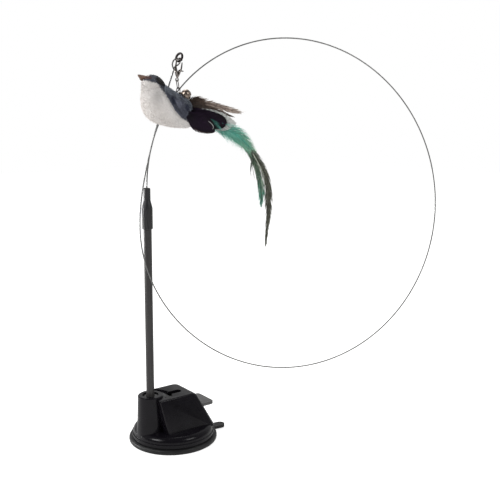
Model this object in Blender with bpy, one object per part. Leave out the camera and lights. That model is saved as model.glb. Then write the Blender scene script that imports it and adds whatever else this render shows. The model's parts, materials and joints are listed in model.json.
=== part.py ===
"""Suction cup cat toy: a lever-locked suction base, an upright rod, one long hoop of spring wire and a
feathered bird lure with a bell, which hangs from the wire's eye.

The part frame has its origin at the centre of the suction disc's underside, +Z up and +X along the base
towards the lever and the disc's pull tab. The hoop and the lure are laid out in the toy frame: its origin
is on the rod's axis at table height, and its +X axis runs the way the hoop leaves the rod.
"""

import math
from dataclasses import dataclass

import bpy
import numpy as np

MM = 0.001

# Gaps and cutters
FIT_GAP = 0.3 * MM
CUT_OVERRUN = 1.5 * MM

# Round pieces
FINE_SEGMENTS = 72
MEDIUM_SEGMENTS = 40
SMALL_SEGMENTS = 20
WIRE_SIDES = 6
RING_SIDES = 8
SMOOTH_ANGLE = math.radians(32)

# Suction disc
DISC_RADIUS = 35.0 * MM
DISC_THICK = 4.0 * MM
DISC_EDGE_ROUND = 1.5 * MM
DISC_BOSS_RADIUS = 9.0 * MM
DISC_BOSS_HEIGHT = 4.6 * MM
DISC_POCKET_FLOOR = 4.1 * MM
DISC_POCKET_LIP = 1.4 * MM
TAB_REACH = 11.0 * MM
TAB_WIDTH = 7.6 * MM
TAB_THICK = 3.2 * MM
TAB_ROOT_OVERLAP = 4.0 * MM
TAB_TURN = math.radians(-8)

# Pull stem, its foot and the return spring
STEM_RADIUS = 3.4 * MM
STEM_HEAD_ABOVE_PIN = 3.6 * MM
STEM_HEAD_ROUND = 0.8 * MM
FOOT_RADIUS = 7.0 * MM
SPRING_RADIUS = 5.4 * MM
SPRING_WIRE_RADIUS = 0.4 * MM
SPRING_TURNS = 2.5
SPRING_POINTS_PER_TURN = 12

# Housing skirt
SKIRT_LIFT = 0.3 * MM
SKIRT_RADIUS = 32.8 * MM
SKIRT_BAND_HEIGHT = 3.0 * MM
SKIRT_STEP = 0.9 * MM
SKIRT_SHOULDER_RISE = 0.6 * MM
SKIRT_SHOULDER_ROUND = 4.4 * MM
SKIRT_CROWN = 0.4 * MM
HOUSING_WALL = 2.2 * MM

# Housing box, whose four sides are drafted and whose back top edge is rounded
BOX_TOP = 38.9 * MM
BOX_FOOT_DEPTH = 2.2 * MM
BOX_TOP_FRONT = -20.1 * MM
BOX_FOOT_FRONT = -15.6 * MM
BOX_TOP_BACK = 13.6 * MM
BOX_FOOT_BACK = 27.0 * MM
BOX_TOP_HALF_WIDTH = 14.2 * MM
BOX_FOOT_HALF_WIDTH = 19.4 * MM
BOX_BACK_CORNER = 3.4 * MM
BOX_FRONT_CORNER = 1.0 * MM
BOX_BACK_TOP_ROUND = 3.4 * MM
BOX_TOP_EDGE_ROUND = 0.9 * MM
BOX_CORNER_STEPS = 6
BOX_ROUND_STEPS = 6

# Socket boss for the rod
BOSS_CENTRE_X = -20.4 * MM
BOSS_TOP = 40.6 * MM
BOSS_TOP_RADIUS = 9.8 * MM
BOSS_WAIST = 21.0 * MM
BOSS_WAIST_RADIUS = 10.4 * MM
BOSS_FOOT_RADIUS = 11.3 * MM
BOSS_FOOT_DROP = 3.2 * MM
BOSS_EDGE_ROUND = 0.6 * MM
BOSS_BORE_RADIUS = 6.3 * MM
BOSS_BORE_FLOOR = 15.0 * MM

# Recess and slot in the box's top
MOAT_INNER_RADIUS = 12.0 * MM
MOAT_OUTER_RADIUS = 17.0 * MM
MOAT_DEPTH = 1.4 * MM
MOAT_HALF_ANGLE = math.radians(52)
MOAT_STEPS = 20
SLOT_LENGTH = 9.6 * MM
SLOT_WIDTH = 6.0 * MM
SLOT_CENTRE_Y = -2.0 * MM

# Web that the cams bear on, and the lever's window
WEB_TOP = 15.2 * MM
WEB_THICK = 2.0 * MM
WEB_HOLE_GAP = 0.4 * MM
WINDOW_TOP = 28.4 * MM
WINDOW_SIDE_GAP = 0.7 * MM

# Lever with twin eccentric cams
CAM_RADIUS = 7.5 * MM
CAM_ECCENTRICITY = 4.0 * MM
CAM_THICK = 3.0 * MM
CAM_SIDE_GAP = 0.7 * MM
LEVER_REACH = 32.2 * MM
LEVER_HALF_WIDTH = 11.3 * MM
LEVER_THICK = 2.5 * MM
LEVER_TOP_ABOVE_PIN = 4.0 * MM
LEVER_FRONT = 6.2 * MM
LEVER_CORNER = 2.6 * MM
PIN_RADIUS = 1.5 * MM
PIN_OVERHANG = 0.5 * MM

# Rod, its foot plug and the wire ferrule
ROD_RADIUS = 3.1 * MM
ROD_TOP = 186.0 * MM
PLUG_TOP_BELOW_RIM = 0.9 * MM
PLUG_ROD_DEPTH = 20.0 * MM
PLUG_NOTCHES = 3
PLUG_NOTCH_WIDTH = 1.7 * MM
PLUG_NOTCH_DEPTH = 1.4 * MM
PLUG_NOTCH_HEIGHT = 3.0 * MM
FERRULE_BOTTOM = 171.3 * MM
FERRULE_SHOULDER = 186.9 * MM
FERRULE_TAPER = 6.0 * MM
FERRULE_TOP = 202.1 * MM
FERRULE_RADIUS = 4.05 * MM
FERRULE_NECK_RADIUS = 2.6 * MM
FERRULE_EDGE = 0.4 * MM
FERRULE_FLATS = 16

# Toy frame: the way the hoop leaves the rod
TOY_HEADING = math.radians(-37.6)

# Spring wire: a hoop whose bend follows shares of one radius, in a leaning plane
WIRE_RADIUS = 0.5 * MM
WIRE_BORE_GAP = 0.75 * MM
WIRE_FOOT = 187.8 * MM
WIRE_BEND_START = 198.0 * MM
HOOP_RADIUS = 131.9 * MM
HOOP_ARC_share = 6.8734
HOOP_YAW = math.radians(20.3)
HOOP_LEAN = math.radians(5.3)
HOOP_LENGTH_shares = (0.0, 0.06, 0.15, 0.3, 0.45, 0.6, 0.7, 0.78, 0.86, 0.93, 1.0)
HOOP_BEND_shares = (0.96, 1.21, 1.07, 0.98, 1.02, 0.99, 1.01, 1.03, 1.25, 0.16, -0.2)
TIP_DRIFT_share = 0.3184
TIP_DRIFT_START_share = 0.6
TIP_DRIFT_POWER = 7
HOOP_FINE_STEPS = 1800
HOOP_POINTS = 104

# Eye at the wire's end: along the strand, sideways and out of the eye's plane, as shares of its size
EYE_LENGTH = 8.2 * MM
EYE_WIDTH = 4.8 * MM
EYE_CROSSING = 1.4 * MM
EYE_TURN = math.radians(23)
EYE_POINT_shares = (
    (0.25, -0.05, 0.0),
    (0.5, -0.44, 0.0),
    (0.78, -0.52, 0.0),
    (1.0, -0.1, 0.0),
    (0.93, 0.33, 0.0),
    (0.68, 0.5, 0.0),
    (0.4, 0.49, 0.22),
    (0.16, 0.25, 0.72),
    (0.02, -0.05, 0.96),
    (-0.06, -0.35, 1.0),
)
EYE_STEPS = 4

# Where the eye's far end hangs, which the places of the ring, the clasp and the bird below are measured with
EYE_REST = (27.09 * MM, -30.97 * MM, 293.24 * MM)

# Split ring
RING_RADIUS = 2.95 * MM
RING_WIDTH = 1.0 * MM
RING_WIRE_THICK = 0.56 * MM
RING_PITCH = 0.98 * MM
RING_TURNS = 2
RING_POINTS_PER_TURN = 24
RING_CENTRE = (27.9 * MM, -30.6 * MM, 294.3 * MM)
RING_LEAN = math.radians(25.5)
RING_TURN = math.radians(40)

# Lobster clasp, laid out in its own plane: across, along
CLASP_CENTRE = (28.0 * MM, -31.7 * MM, 291.2 * MM)
CLASP_YAW = math.radians(38)
CLASP_LEAN = math.radians(8)
CLASP_WIRE_RADIUS = 0.5 * MM
CLASP_HALF_WIDTH = 2.3 * MM
CLASP_ARCH = 2.4 * MM
CLASP_MOUTH_ANGLE = math.radians(22)
CLASP_LENGTH = 12.0 * MM
CLASP_THICK = 2.4 * MM
CLASP_SLOT = 1.5 * MM
CLASP_TAIL_RADIUS = 1.1 * MM
CLASP_TAIL_WIRE = 0.35 * MM
CLASP_ARM_shares = ((-1.0, -0.15), (-0.98, -0.28), (-0.9, -0.42), (-0.6, -0.64), (-0.25, -0.84))
CLASP_ARM_GIRTH_shares = (1.15, 1.3, 1.6, 1.7, 1.5)
CLASP_BODY_shares = (
    (-1.1, -0.36),
    (-0.3, -0.43),
    (0.62, -0.44),
    (0.88, -0.52),
    (0.72, -0.68),
    (0.36, -0.93),
    (-0.3, -0.94),
    (-0.82, -0.66),
)
GATE_THICK = 0.9 * MM
GATE_PIVOT_shares = (0.2, -0.57)
GATE_HUB_RADIUS = 1.15 * MM
GATE_ARM_shares = ((0.5, -0.53), (0.85, -0.46), (1.0, -0.3), (1.02, -0.14), (1.0, -0.01))
GATE_NUB_shares = ((0.7, -0.49), (1.2, -0.485), (1.85, -0.47))
RIVET_RADIUS = 0.4 * MM
RIVET_OVERHANG = 0.15 * MM

# Oval chain link
LINK_WIRE_RADIUS = 0.3 * MM
LINK_HALF_WIDTH = 1.05 * MM
LINK_STRAIGHT = 4.0 * MM
LINK_LEAN = math.radians(-8)
LINK_BEND_STEPS = 8

# Wire bail that is pushed into the bird's back
BAIL_WIRE_RADIUS = 0.3 * MM
BAIL_BEND_RADIUS = 1.1 * MM
BAIL_LEFT_END = (24.4 * MM, 264.6 * MM)
BAIL_RIGHT_END = (28.5 * MM, 264.2 * MM)
BAIL_BEND_STEPS = 6

# Jingle bell
BELL_RADIUS = 3.6 * MM
BELL_WALL = 0.45 * MM
BELL_SLOT_WIDTH = 0.9 * MM
BELL_SLOT_HOLE = 0.85 * MM
BELL_BAND = 0.35 * MM
BELL_BAND_PROUD = 0.2 * MM
BELL_LOOP_RADIUS = 1.2 * MM
BELL_LOOP_WIRE = 0.35 * MM
BELL_HANG_DROP = 2.5 * MM
BELL_OUT = (0.66, 0.68, -0.36)
PELLET_RADIUS = 1.2 * MM

# Bird, laid out in the toy frame: across, height, half height, half depth
BIRD_DEPTH = -31.7 * MM
BIRD_SLANT = math.radians(45)
BIRD_SIDES = 28
BODY_STATIONS = (
    (4.9 * MM, 273.6 * MM, 1.6 * MM, 1.6 * MM),
    (5.6 * MM, 272.8 * MM, 4.8 * MM, 4.9 * MM),
    (7.2 * MM, 270.4 * MM, 8.5 * MM, 8.4 * MM),
    (10.0 * MM, 266.7 * MM, 11.35 * MM, 10.9 * MM),
    (13.7 * MM, 262.9 * MM, 12.65 * MM, 12.1 * MM),
    (17.8 * MM, 259.7 * MM, 12.8 * MM, 12.2 * MM),
    (22.4 * MM, 256.8 * MM, 11.5 * MM, 11.1 * MM),
    (27.0 * MM, 253.9 * MM, 9.4 * MM, 9.1 * MM),
    (31.4 * MM, 251.3 * MM, 6.6 * MM, 6.5 * MM),
    (34.8 * MM, 249.3 * MM, 3.9 * MM, 4.0 * MM),
    (36.4 * MM, 248.4 * MM, 1.5 * MM, 1.6 * MM),
)
HEAD_CENTRE = (9.0 * MM, 275.9 * MM)
HEAD_RADII = (7.3 * MM, 6.9 * MM, 6.8 * MM)
HEAD_RINGS = 14
BEAK_STATIONS = (
    (-0.45 * MM, 282.3 * MM, 0.35 * MM, 0.3 * MM),
    (0.7 * MM, 281.5 * MM, 1.2 * MM, 1.0 * MM),
    (2.0 * MM, 280.6 * MM, 1.8 * MM, 1.9 * MM),
    (4.4 * MM, 280.3 * MM, 1.6 * MM, 3.0 * MM),
    (7.6 * MM, 280.1 * MM, 1.3 * MM, 3.8 * MM),
)

# Wings: patches of the body's own surface, stood off from it
WING_THICK = 1.5 * MM
WING_CLEARANCE_share = 1.05
WING_OUTLINE = (
    (18.2 * MM, 276.2 * MM),
    (25.5 * MM, 271.4 * MM),
    (31.5 * MM, 268.2 * MM),
    (35.6 * MM, 264.2 * MM),
    (36.3 * MM, 260.0 * MM),
    (35.2 * MM, 255.0 * MM),
    (32.8 * MM, 251.9 * MM),
    (28.8 * MM, 255.1 * MM),
    (25.4 * MM, 259.5 * MM),
    (22.7 * MM, 264.6 * MM),
    (19.0 * MM, 270.6 * MM),
)

# Feathers: across, depth from the bird's middle plane, height, half height, half thickness
FEATHER_SIDES = 10
FEATHERS = {
    "brown_feather_upper": (
        (31.8 * MM, 5.2 * MM, 261.4 * MM, 1.0 * MM, 0.6 * MM),
        (34.4 * MM, 5.3 * MM, 263.2 * MM, 1.9 * MM, 0.8 * MM),
        (37.2 * MM, 5.4 * MM, 264.7 * MM, 2.8 * MM, 1.0 * MM),
        (40.6 * MM, 5.5 * MM, 265.0 * MM, 3.0 * MM, 1.0 * MM),
        (44.4 * MM, 5.5 * MM, 263.9 * MM, 2.6 * MM, 1.0 * MM),
        (49.0 * MM, 5.5 * MM, 262.9 * MM, 2.2 * MM, 0.9 * MM),
        (55.0 * MM, 5.4 * MM, 261.4 * MM, 1.8 * MM, 0.7 * MM),
        (61.0 * MM, 5.3 * MM, 259.3 * MM, 1.3 * MM, 0.6 * MM),
        (68.4 * MM, 5.2 * MM, 256.9 * MM, 0.4 * MM, 0.3 * MM),
    ),
    "brown_feather_lower": (
        (32.8 * MM, 3.6 * MM, 259.4 * MM, 0.7 * MM, 0.4 * MM),
        (36.6 * MM, 3.7 * MM, 261.0 * MM, 1.5 * MM, 0.5 * MM),
        (41.0 * MM, 3.8 * MM, 261.2 * MM, 1.8 * MM, 0.5 * MM),
        (46.0 * MM, 3.8 * MM, 260.2 * MM, 1.9 * MM, 0.5 * MM),
        (51.0 * MM, 3.8 * MM, 258.9 * MM, 1.9 * MM, 0.5 * MM),
        (56.0 * MM, 3.8 * MM, 257.4 * MM, 1.5 * MM, 0.5 * MM),
        (60.5 * MM, 3.7 * MM, 255.6 * MM, 0.9 * MM, 0.4 * MM),
        (63.4 * MM, 3.6 * MM, 254.2 * MM, 0.4 * MM, 0.3 * MM),
    ),
    "black_feather_near": (
        (30.0 * MM, -4.6 * MM, 256.4 * MM, 2.6 * MM, 0.5 * MM),
        (34.5 * MM, -3.5 * MM, 254.8 * MM, 5.2 * MM, 0.8 * MM),
        (38.0 * MM, -3.1 * MM, 252.9 * MM, 6.6 * MM, 0.9 * MM),
        (42.0 * MM, -3.0 * MM, 250.7 * MM, 6.9 * MM, 0.9 * MM),
        (46.0 * MM, -3.0 * MM, 248.4 * MM, 5.6 * MM, 0.9 * MM),
        (49.0 * MM, -3.0 * MM, 246.3 * MM, 3.6 * MM, 0.7 * MM),
        (51.4 * MM, -3.0 * MM, 244.6 * MM, 0.9 * MM, 0.4 * MM),
    ),
    "black_feather_far": (
        (30.0 * MM, 2.4 * MM, 256.6 * MM, 2.4 * MM, 0.4 * MM),
        (35.5 * MM, 1.2 * MM, 255.8 * MM, 4.6 * MM, 0.5 * MM),
        (39.0 * MM, 0.9 * MM, 255.1 * MM, 5.5 * MM, 0.5 * MM),
        (45.0 * MM, 0.9 * MM, 253.6 * MM, 5.9 * MM, 0.5 * MM),
        (51.5 * MM, 0.9 * MM, 251.9 * MM, 5.6 * MM, 0.5 * MM),
        (56.0 * MM, 0.9 * MM, 250.7 * MM, 4.8 * MM, 0.5 * MM),
        (58.8 * MM, 0.9 * MM, 250.0 * MM, 3.2 * MM, 0.4 * MM),
        (60.0 * MM, 0.9 * MM, 249.7 * MM, 0.9 * MM, 0.3 * MM),
    ),
    "white_feather": (
        (34.4 * MM, 2.5 * MM, 256.6 * MM, 1.6 * MM, 0.3 * MM),
        (38.4 * MM, 2.5 * MM, 256.0 * MM, 3.6 * MM, 0.4 * MM),
        (44.0 * MM, 2.5 * MM, 254.9 * MM, 5.0 * MM, 0.4 * MM),
        (51.0 * MM, 2.5 * MM, 253.2 * MM, 5.3 * MM, 0.4 * MM),
        (57.0 * MM, 2.5 * MM, 251.6 * MM, 5.1 * MM, 0.4 * MM),
        (62.0 * MM, 2.5 * MM, 250.9 * MM, 3.5 * MM, 0.4 * MM),
        (65.0 * MM, 2.5 * MM, 250.4 * MM, 1.9 * MM, 0.4 * MM),
        (66.4 * MM, 2.5 * MM, 250.1 * MM, 0.5 * MM, 0.3 * MM),
    ),
    "tail_marabou": (
        (38.2 * MM, -0.9 * MM, 249.6 * MM, 1.0 * MM, 0.6 * MM),
        (45.0 * MM, -0.9 * MM, 250.2 * MM, 2.2 * MM, 0.7 * MM),
        (51.0 * MM, -0.9 * MM, 249.0 * MM, 3.2 * MM, 0.7 * MM),
        (57.0 * MM, -1.0 * MM, 246.0 * MM, 4.2 * MM, 0.9 * MM),
        (62.4 * MM, -0.8 * MM, 243.6 * MM, 5.2 * MM, 2.0 * MM),
        (68.0 * MM, -0.5 * MM, 240.9 * MM, 5.4 * MM, 3.2 * MM),
        (73.0 * MM, -0.2 * MM, 237.2 * MM, 4.6 * MM, 2.8 * MM),
        (77.4 * MM, 0.0, 232.8 * MM, 3.0 * MM, 1.9 * MM),
        (80.8 * MM, 0.0, 228.6 * MM, 0.8 * MM, 0.6 * MM),
    ),
    "tail_plume_long": (
        (34.6 * MM, 1.9 * MM, 248.4 * MM, 0.5 * MM, 0.4 * MM),
        (41.0 * MM, 2.2 * MM, 247.6 * MM, 0.7 * MM, 0.4 * MM),
        (50.0 * MM, 2.5 * MM, 246.4 * MM, 0.8 * MM, 0.4 * MM),
        (60.0 * MM, 3.6 * MM, 243.4 * MM, 1.2 * MM, 0.5 * MM),
        (69.0 * MM, 4.4 * MM, 238.6 * MM, 1.5 * MM, 0.6 * MM),
        (76.5 * MM, 4.2 * MM, 231.0 * MM, 2.0 * MM, 0.7 * MM),
        (82.4 * MM, 3.4 * MM, 222.4 * MM, 2.1 * MM, 0.8 * MM),
        (87.0 * MM, 2.6 * MM, 214.0 * MM, 2.2 * MM, 0.8 * MM),
        (89.6 * MM, 2.2 * MM, 204.6 * MM, 2.3 * MM, 0.8 * MM),
        (90.0 * MM, 1.8 * MM, 195.0 * MM, 2.6 * MM, 0.7 * MM),
        (90.2 * MM, 1.5 * MM, 187.6 * MM, 1.6 * MM, 0.6 * MM),
        (89.2 * MM, 1.2 * MM, 178.0 * MM, 1.0 * MM, 0.5 * MM),
        (88.4 * MM, 1.0 * MM, 165.0 * MM, 0.4 * MM, 0.3 * MM),
    ),
    "tail_plume_short": (
        (34.4 * MM, 0.3 * MM, 247.9 * MM, 0.5 * MM, 0.3 * MM),
        (40.0 * MM, 0.6 * MM, 246.2 * MM, 0.7 * MM, 0.4 * MM),
        (48.0 * MM, 1.5 * MM, 244.8 * MM, 0.8 * MM, 0.4 * MM),
        (54.0 * MM, 3.9 * MM, 243.8 * MM, 0.9 * MM, 0.5 * MM),
        (58.0 * MM, 5.4 * MM, 242.8 * MM, 1.1 * MM, 0.5 * MM),
        (66.0 * MM, 6.4 * MM, 239.4 * MM, 1.4 * MM, 0.6 * MM),
        (73.0 * MM, 6.4 * MM, 233.6 * MM, 1.7 * MM, 0.6 * MM),
        (78.2 * MM, 6.2 * MM, 226.4 * MM, 1.8 * MM, 0.6 * MM),
        (81.6 * MM, 5.8 * MM, 218.6 * MM, 1.8 * MM, 0.6 * MM),
        (83.7 * MM, 5.4 * MM, 210.4 * MM, 1.9 * MM, 0.6 * MM),
        (85.0 * MM, 5.0 * MM, 202.0 * MM, 2.1 * MM, 0.6 * MM),
        (84.9 * MM, 4.8 * MM, 196.6 * MM, 1.4 * MM, 0.5 * MM),
        (84.7 * MM, 4.6 * MM, 192.0 * MM, 0.4 * MM, 0.3 * MM),
    ),
}

# Places worked out from the sizes above
DISC_BOSS_TOP = DISC_THICK + DISC_BOSS_HEIGHT
POCKET_TOP = DISC_BOSS_TOP - DISC_POCKET_LIP
FOOT_BOTTOM = DISC_POCKET_FLOOR + FIT_GAP
FOOT_TOP = POCKET_TOP - FIT_GAP
SKIRT_BOTTOM = DISC_THICK + SKIRT_LIFT
SKIRT_SHOULDER = SKIRT_BOTTOM + SKIRT_BAND_HEIGHT + SKIRT_SHOULDER_RISE
SKIRT_TOP = SKIRT_SHOULDER + SKIRT_SHOULDER_ROUND
PIN_HEIGHT = WEB_TOP + FIT_GAP + CAM_RADIUS
LEVER_TOP = PIN_HEIGHT + LEVER_TOP_ABOVE_PIN
LEVER_BOTTOM = LEVER_TOP - LEVER_THICK
CAM_INNER_Y = STEM_RADIUS + CAM_SIDE_GAP
CAM_OUTER_Y = CAM_INNER_Y + CAM_THICK
PLUG_TOP = BOSS_TOP - PLUG_TOP_BELOW_RIM
PLUG_RADIUS = BOSS_BORE_RADIUS - FIT_GAP
ROD_BOTTOM = PLUG_TOP - PLUG_ROD_DEPTH


def arc(centre_a, centre_b, radius_a, radius_b, start, end, steps):
    """Points of an elliptical arc, as pairs, from the start angle to the end angle."""
    turns = np.linspace(start, end, steps + 1)
    return [(centre_a + radius_a * math.cos(t), centre_b + radius_b * math.sin(t)) for t in turns]


def smooth_curve(points, steps):
    """A Catmull-Rom curve through the points, with so many steps between neighbours."""
    knots = np.asarray(points, float)
    knots = np.vstack([2 * knots[0] - knots[1], knots, 2 * knots[-1] - knots[-2]])
    share = np.linspace(0, 1, steps, endpoint=False)[:, None]
    pieces = []
    for before, start, end, after in zip(knots, knots[1:], knots[2:], knots[3:]):
        slope = (end - before) * share
        square = (2 * before - 5 * start + 4 * end - after) * share**2
        cube = (3 * start - before - 3 * end + after) * share**3
        pieces.append(start + (slope + square + cube) / 2)
    pieces.append(knots[-2:-1])
    return np.vstack(pieces)


def unit(vector):
    """The vector at length one."""
    vector = np.asarray(vector, float)
    return vector / np.linalg.norm(vector)


def rings_to_faces(count, sides, closed=False):
    """Quads between rings of points, and a cap at each end of an open row of rings."""
    faces = []
    for ring in range(count if closed else count - 1):
        here = ring * sides
        there = (ring + 1) % count * sides
        for side in range(sides):
            onward = (side + 1) % sides
            faces.append((here + side, here + onward, there + onward, there + side))
    if not closed:
        faces.append(tuple(reversed(range(sides))))
        faces.append(tuple(range((count - 1) * sides, count * sides)))
    return faces


def sweep(path, across, out, sides=WIRE_SIDES, closed=False, first_normal=None):
    """A tube along the path: its section is an ellipse, across the first normal and out from it."""
    path = np.asarray(path, float)
    count = len(path)
    across = np.broadcast_to(across, count)
    out = np.broadcast_to(out, count)
    if closed:
        tangents = np.roll(path, -1, axis=0) - np.roll(path, 1, axis=0)
    else:
        tangents = np.gradient(path, axis=0)
    tangents /= np.linalg.norm(tangents, axis=1)[:, None]
    normal = first_normal
    if normal is None:
        normal = np.cross(tangents[0], np.eye(3)[np.abs(tangents[0]).argmin()])
    angles = np.arange(sides) * 2 * math.pi / sides
    points = []
    for place, tangent, wide, high in zip(path, tangents, across, out):
        normal = unit(normal - tangent * np.dot(normal, tangent))
        binormal = np.cross(tangent, normal)
        ring = np.outer(np.cos(angles) * wide, normal) + np.outer(np.sin(angles) * high, binormal)
        points.append(place + ring)
    return np.vstack(points), rings_to_faces(count, sides, closed)


def loft(stations, sides, slant=None, grow=0.0):
    """A swelling body through ellipses at (across, depth, height, half height, half depth).

    With a slant every ellipse stands square to that direction, and without one to the path itself.
    """
    table = np.asarray(stations, float)
    centres = table[:, :3]
    heights = table[:, 3] + grow
    depths = table[:, 4] + grow
    if slant is None:
        along = np.gradient(centres, axis=0)
    else:
        along = np.tile((math.cos(slant), 0, -math.sin(slant)), (len(table), 1))
    along /= np.linalg.norm(along, axis=1)[:, None]
    ups = np.cross(along, (0, 1, 0))
    ups /= -np.linalg.norm(ups, axis=1)[:, None]
    sideways = np.cross(ups, along)
    centres = centres.copy()
    centres[0] -= along[0] * grow
    centres[-1] += along[-1] * grow
    angles = np.arange(sides) * 2 * math.pi / sides
    points = []
    for centre, up, side, high, deep in zip(centres, ups, sideways, heights, depths):
        points.append(centre + np.outer(np.cos(angles) * deep, side) + np.outer(np.sin(angles) * high, up))
    return np.vstack(points), rings_to_faces(len(table), sides)


def revolve(profile, segments):
    """A solid turned about the Z axis from a closed outline of (radius, height) pairs."""
    angles = np.arange(segments) * 2 * math.pi / segments
    points = []
    rows = []
    for radius, height in profile:
        if radius == 0:
            rows.append([len(points)] * segments)
            points.append((0.0, 0.0, height))
        else:
            rows.append(list(range(len(points), len(points) + segments)))
            points.extend((radius * math.cos(a), radius * math.sin(a), height) for a in angles)
    faces = []
    for row, following in zip(rows, rows[1:] + rows[:1]):
        for k in range(segments):
            onward = (k + 1) % segments
            face = [row[k], row[onward], following[onward], following[k]]
            face = list(dict.fromkeys(face))
            if len(face) > 2:
                faces.append(tuple(face))
    return np.array(points), faces


def prism(outline, low, high, axis=2):
    """An outline pushed from low to high along one axis, the outline's pairs on the other two in order."""
    flat = np.asarray(outline, float)
    others = [k for k in range(3) if k != axis]
    layers = []
    for level in (low, high):
        layer = np.empty((len(flat), 3))
        layer[:, others] = flat
        layer[:, axis] = level
        layers.append(layer)
    return np.vstack(layers), rings_to_faces(2, len(flat))


def material(name, colour, roughness, metallic=0.0):
    """A Principled material of one colour."""
    made = bpy.data.materials.new(name)
    made.use_nodes = True
    shader = made.node_tree.nodes["Principled BSDF"]
    shader.inputs["Base Color"].default_value = (*colour, 1.0)
    shader.inputs["Roughness"].default_value = roughness
    shader.inputs["Metallic"].default_value = metallic
    made.diffuse_color = (*colour, 1.0)
    return made


@dataclass(frozen=True)
class Joint:
    """An empty on a joint's axis, and its place in the frame that its group is drawn in."""

    empty: bpy.types.Object
    place: np.ndarray


def add_mesh(name, shape, dressing=None, joint=None):
    """A mesh object whose origin lies on the joint that carries it."""
    points, faces = shape
    points = np.asarray(points)
    if joint is not None:
        points = points - joint.place
    mesh = bpy.data.meshes.new(name)
    mesh.from_pydata(points.tolist(), [], faces)
    turn_faces_outwards(mesh)
    mesh.shade_smooth()
    mesh.set_sharp_from_angle(angle=SMOOTH_ANGLE)
    made = bpy.data.objects.new(name, mesh)
    if joint is not None:
        made.parent = joint.empty
    if dressing is not None:
        mesh.materials.append(dressing)
    bpy.context.scene.collection.objects.link(made)
    return made


def turn_faces_outwards(mesh):
    """Turns every face round when the closed mesh holds a negative volume."""
    mesh.calc_loop_triangles()
    places = np.array([vertex.co for vertex in mesh.vertices])
    corners = places[np.array([triangle.vertices for triangle in mesh.loop_triangles])]
    if np.linalg.det(corners).sum() < 0:
        mesh.flip_normals()


def add_joint(name, place, above=None):
    """An empty at the joint's place, carried by the joint above it in the chain."""
    empty = bpy.data.objects.new(name, None)
    place = np.asarray(place, float)
    if above is None:
        empty.location = place
    else:
        empty.location = place - above.place
        empty.parent = above.empty
    bpy.context.scene.collection.objects.link(empty)
    return Joint(empty, place)


def add_cutter(name, shape, joint=None):
    """A hidden solid for a Boolean."""
    made = add_mesh(name, shape, joint=joint)
    made.hide_render = True
    made.display_type = "WIRE"
    return made


def combine(target, other, operation):
    """Adds an exact Boolean of the other solid to the target."""
    step = target.modifiers.new(f"{operation.lower()} {other.name}", "BOOLEAN")
    step.operation = operation
    step.solver = "EXACT"
    step.object = other


def cylinder(radius, low, high, centre=(0.0, 0.0), segments=MEDIUM_SEGMENTS, axis=2):
    """A round bar along one axis, its centre given on the other two in order."""
    outline = arc(centre[0], centre[1], radius, radius, 0, 2 * math.pi, segments)[:-1]
    return prism(outline, low, high, axis)


def clear_scene():
    """Removes every object of the scene."""
    for old in list(bpy.data.objects):
        bpy.data.objects.remove(old, do_unlink=True)


def build_disc(rubber):
    """The soft disc: a flat underside, a rounded lip, the pull tab and the pocket for the stem's foot."""
    low_round = arc(
        DISC_RADIUS - DISC_EDGE_ROUND, DISC_EDGE_ROUND, DISC_EDGE_ROUND, DISC_EDGE_ROUND, -math.pi / 2, 0, 4
    )
    high_round = arc(
        DISC_RADIUS - DISC_EDGE_ROUND,
        DISC_THICK - DISC_EDGE_ROUND,
        DISC_EDGE_ROUND,
        DISC_EDGE_ROUND,
        0,
        math.pi / 2,
        4,
    )
    neck = STEM_RADIUS + FIT_GAP
    pocket = FOOT_RADIUS + FIT_GAP
    profile = [(0, 0), *low_round, *high_round]
    profile += [(DISC_BOSS_RADIUS, DISC_THICK), (DISC_BOSS_RADIUS, DISC_BOSS_TOP)]
    profile += [(neck, DISC_BOSS_TOP), (neck, POCKET_TOP), (pocket, POCKET_TOP)]
    profile += [(pocket, DISC_POCKET_FLOOR), (0, DISC_POCKET_FLOOR)]
    disc = add_mesh("suction_disc", revolve(profile, FINE_SEGMENTS), rubber)

    half = TAB_WIDTH / 2
    tip = DISC_RADIUS + TAB_REACH - half
    outline = [(DISC_RADIUS - TAB_ROOT_OVERLAP, -half)]
    outline += arc(tip, 0, half, half, -math.pi / 2, math.pi / 2, 10)
    outline += [(DISC_RADIUS - TAB_ROOT_OVERLAP, half)]
    points, faces = prism(outline, DISC_EDGE_ROUND / 2, TAB_THICK)
    turn_cos, turn_sin = math.cos(TAB_TURN), math.sin(TAB_TURN)
    turned = points @ np.array([(turn_cos, turn_sin, 0), (-turn_sin, turn_cos, 0), (0, 0, 1)])
    tab = add_cutter("pull_tab_shape", (turned, faces))
    combine(disc, tab, "UNION")
    return disc


def build_stem(joint, steel, pin_steel):
    """The post that is moulded into the disc, with the cross hole that carries the lever's pin."""
    head = PIN_HEIGHT + STEM_HEAD_ABOVE_PIN
    profile = [(0, FOOT_BOTTOM), (FOOT_RADIUS, FOOT_BOTTOM), (FOOT_RADIUS, FOOT_TOP)]
    profile += [(STEM_RADIUS, FOOT_TOP), (STEM_RADIUS, head - STEM_HEAD_ROUND)]
    profile += [(STEM_RADIUS - STEM_HEAD_ROUND, head), (0, head)]
    stem = add_mesh("pull_stem", revolve(profile, MEDIUM_SEGMENTS), steel, joint)
    hole_reach = STEM_RADIUS + CUT_OVERRUN
    hole = cylinder(
        PIN_RADIUS + FIT_GAP, -hole_reach, hole_reach, (0, PIN_HEIGHT), SMALL_SEGMENTS, axis=1
    )
    combine(stem, add_cutter("stem_cross_hole", hole, joint), "DIFFERENCE")

    reach = CAM_OUTER_Y + PIN_OVERHANG
    bar = cylinder(PIN_RADIUS, -reach, reach, (0, PIN_HEIGHT), SMALL_SEGMENTS, axis=1)
    add_mesh("lever_pin", bar, pin_steel, joint)


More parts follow.
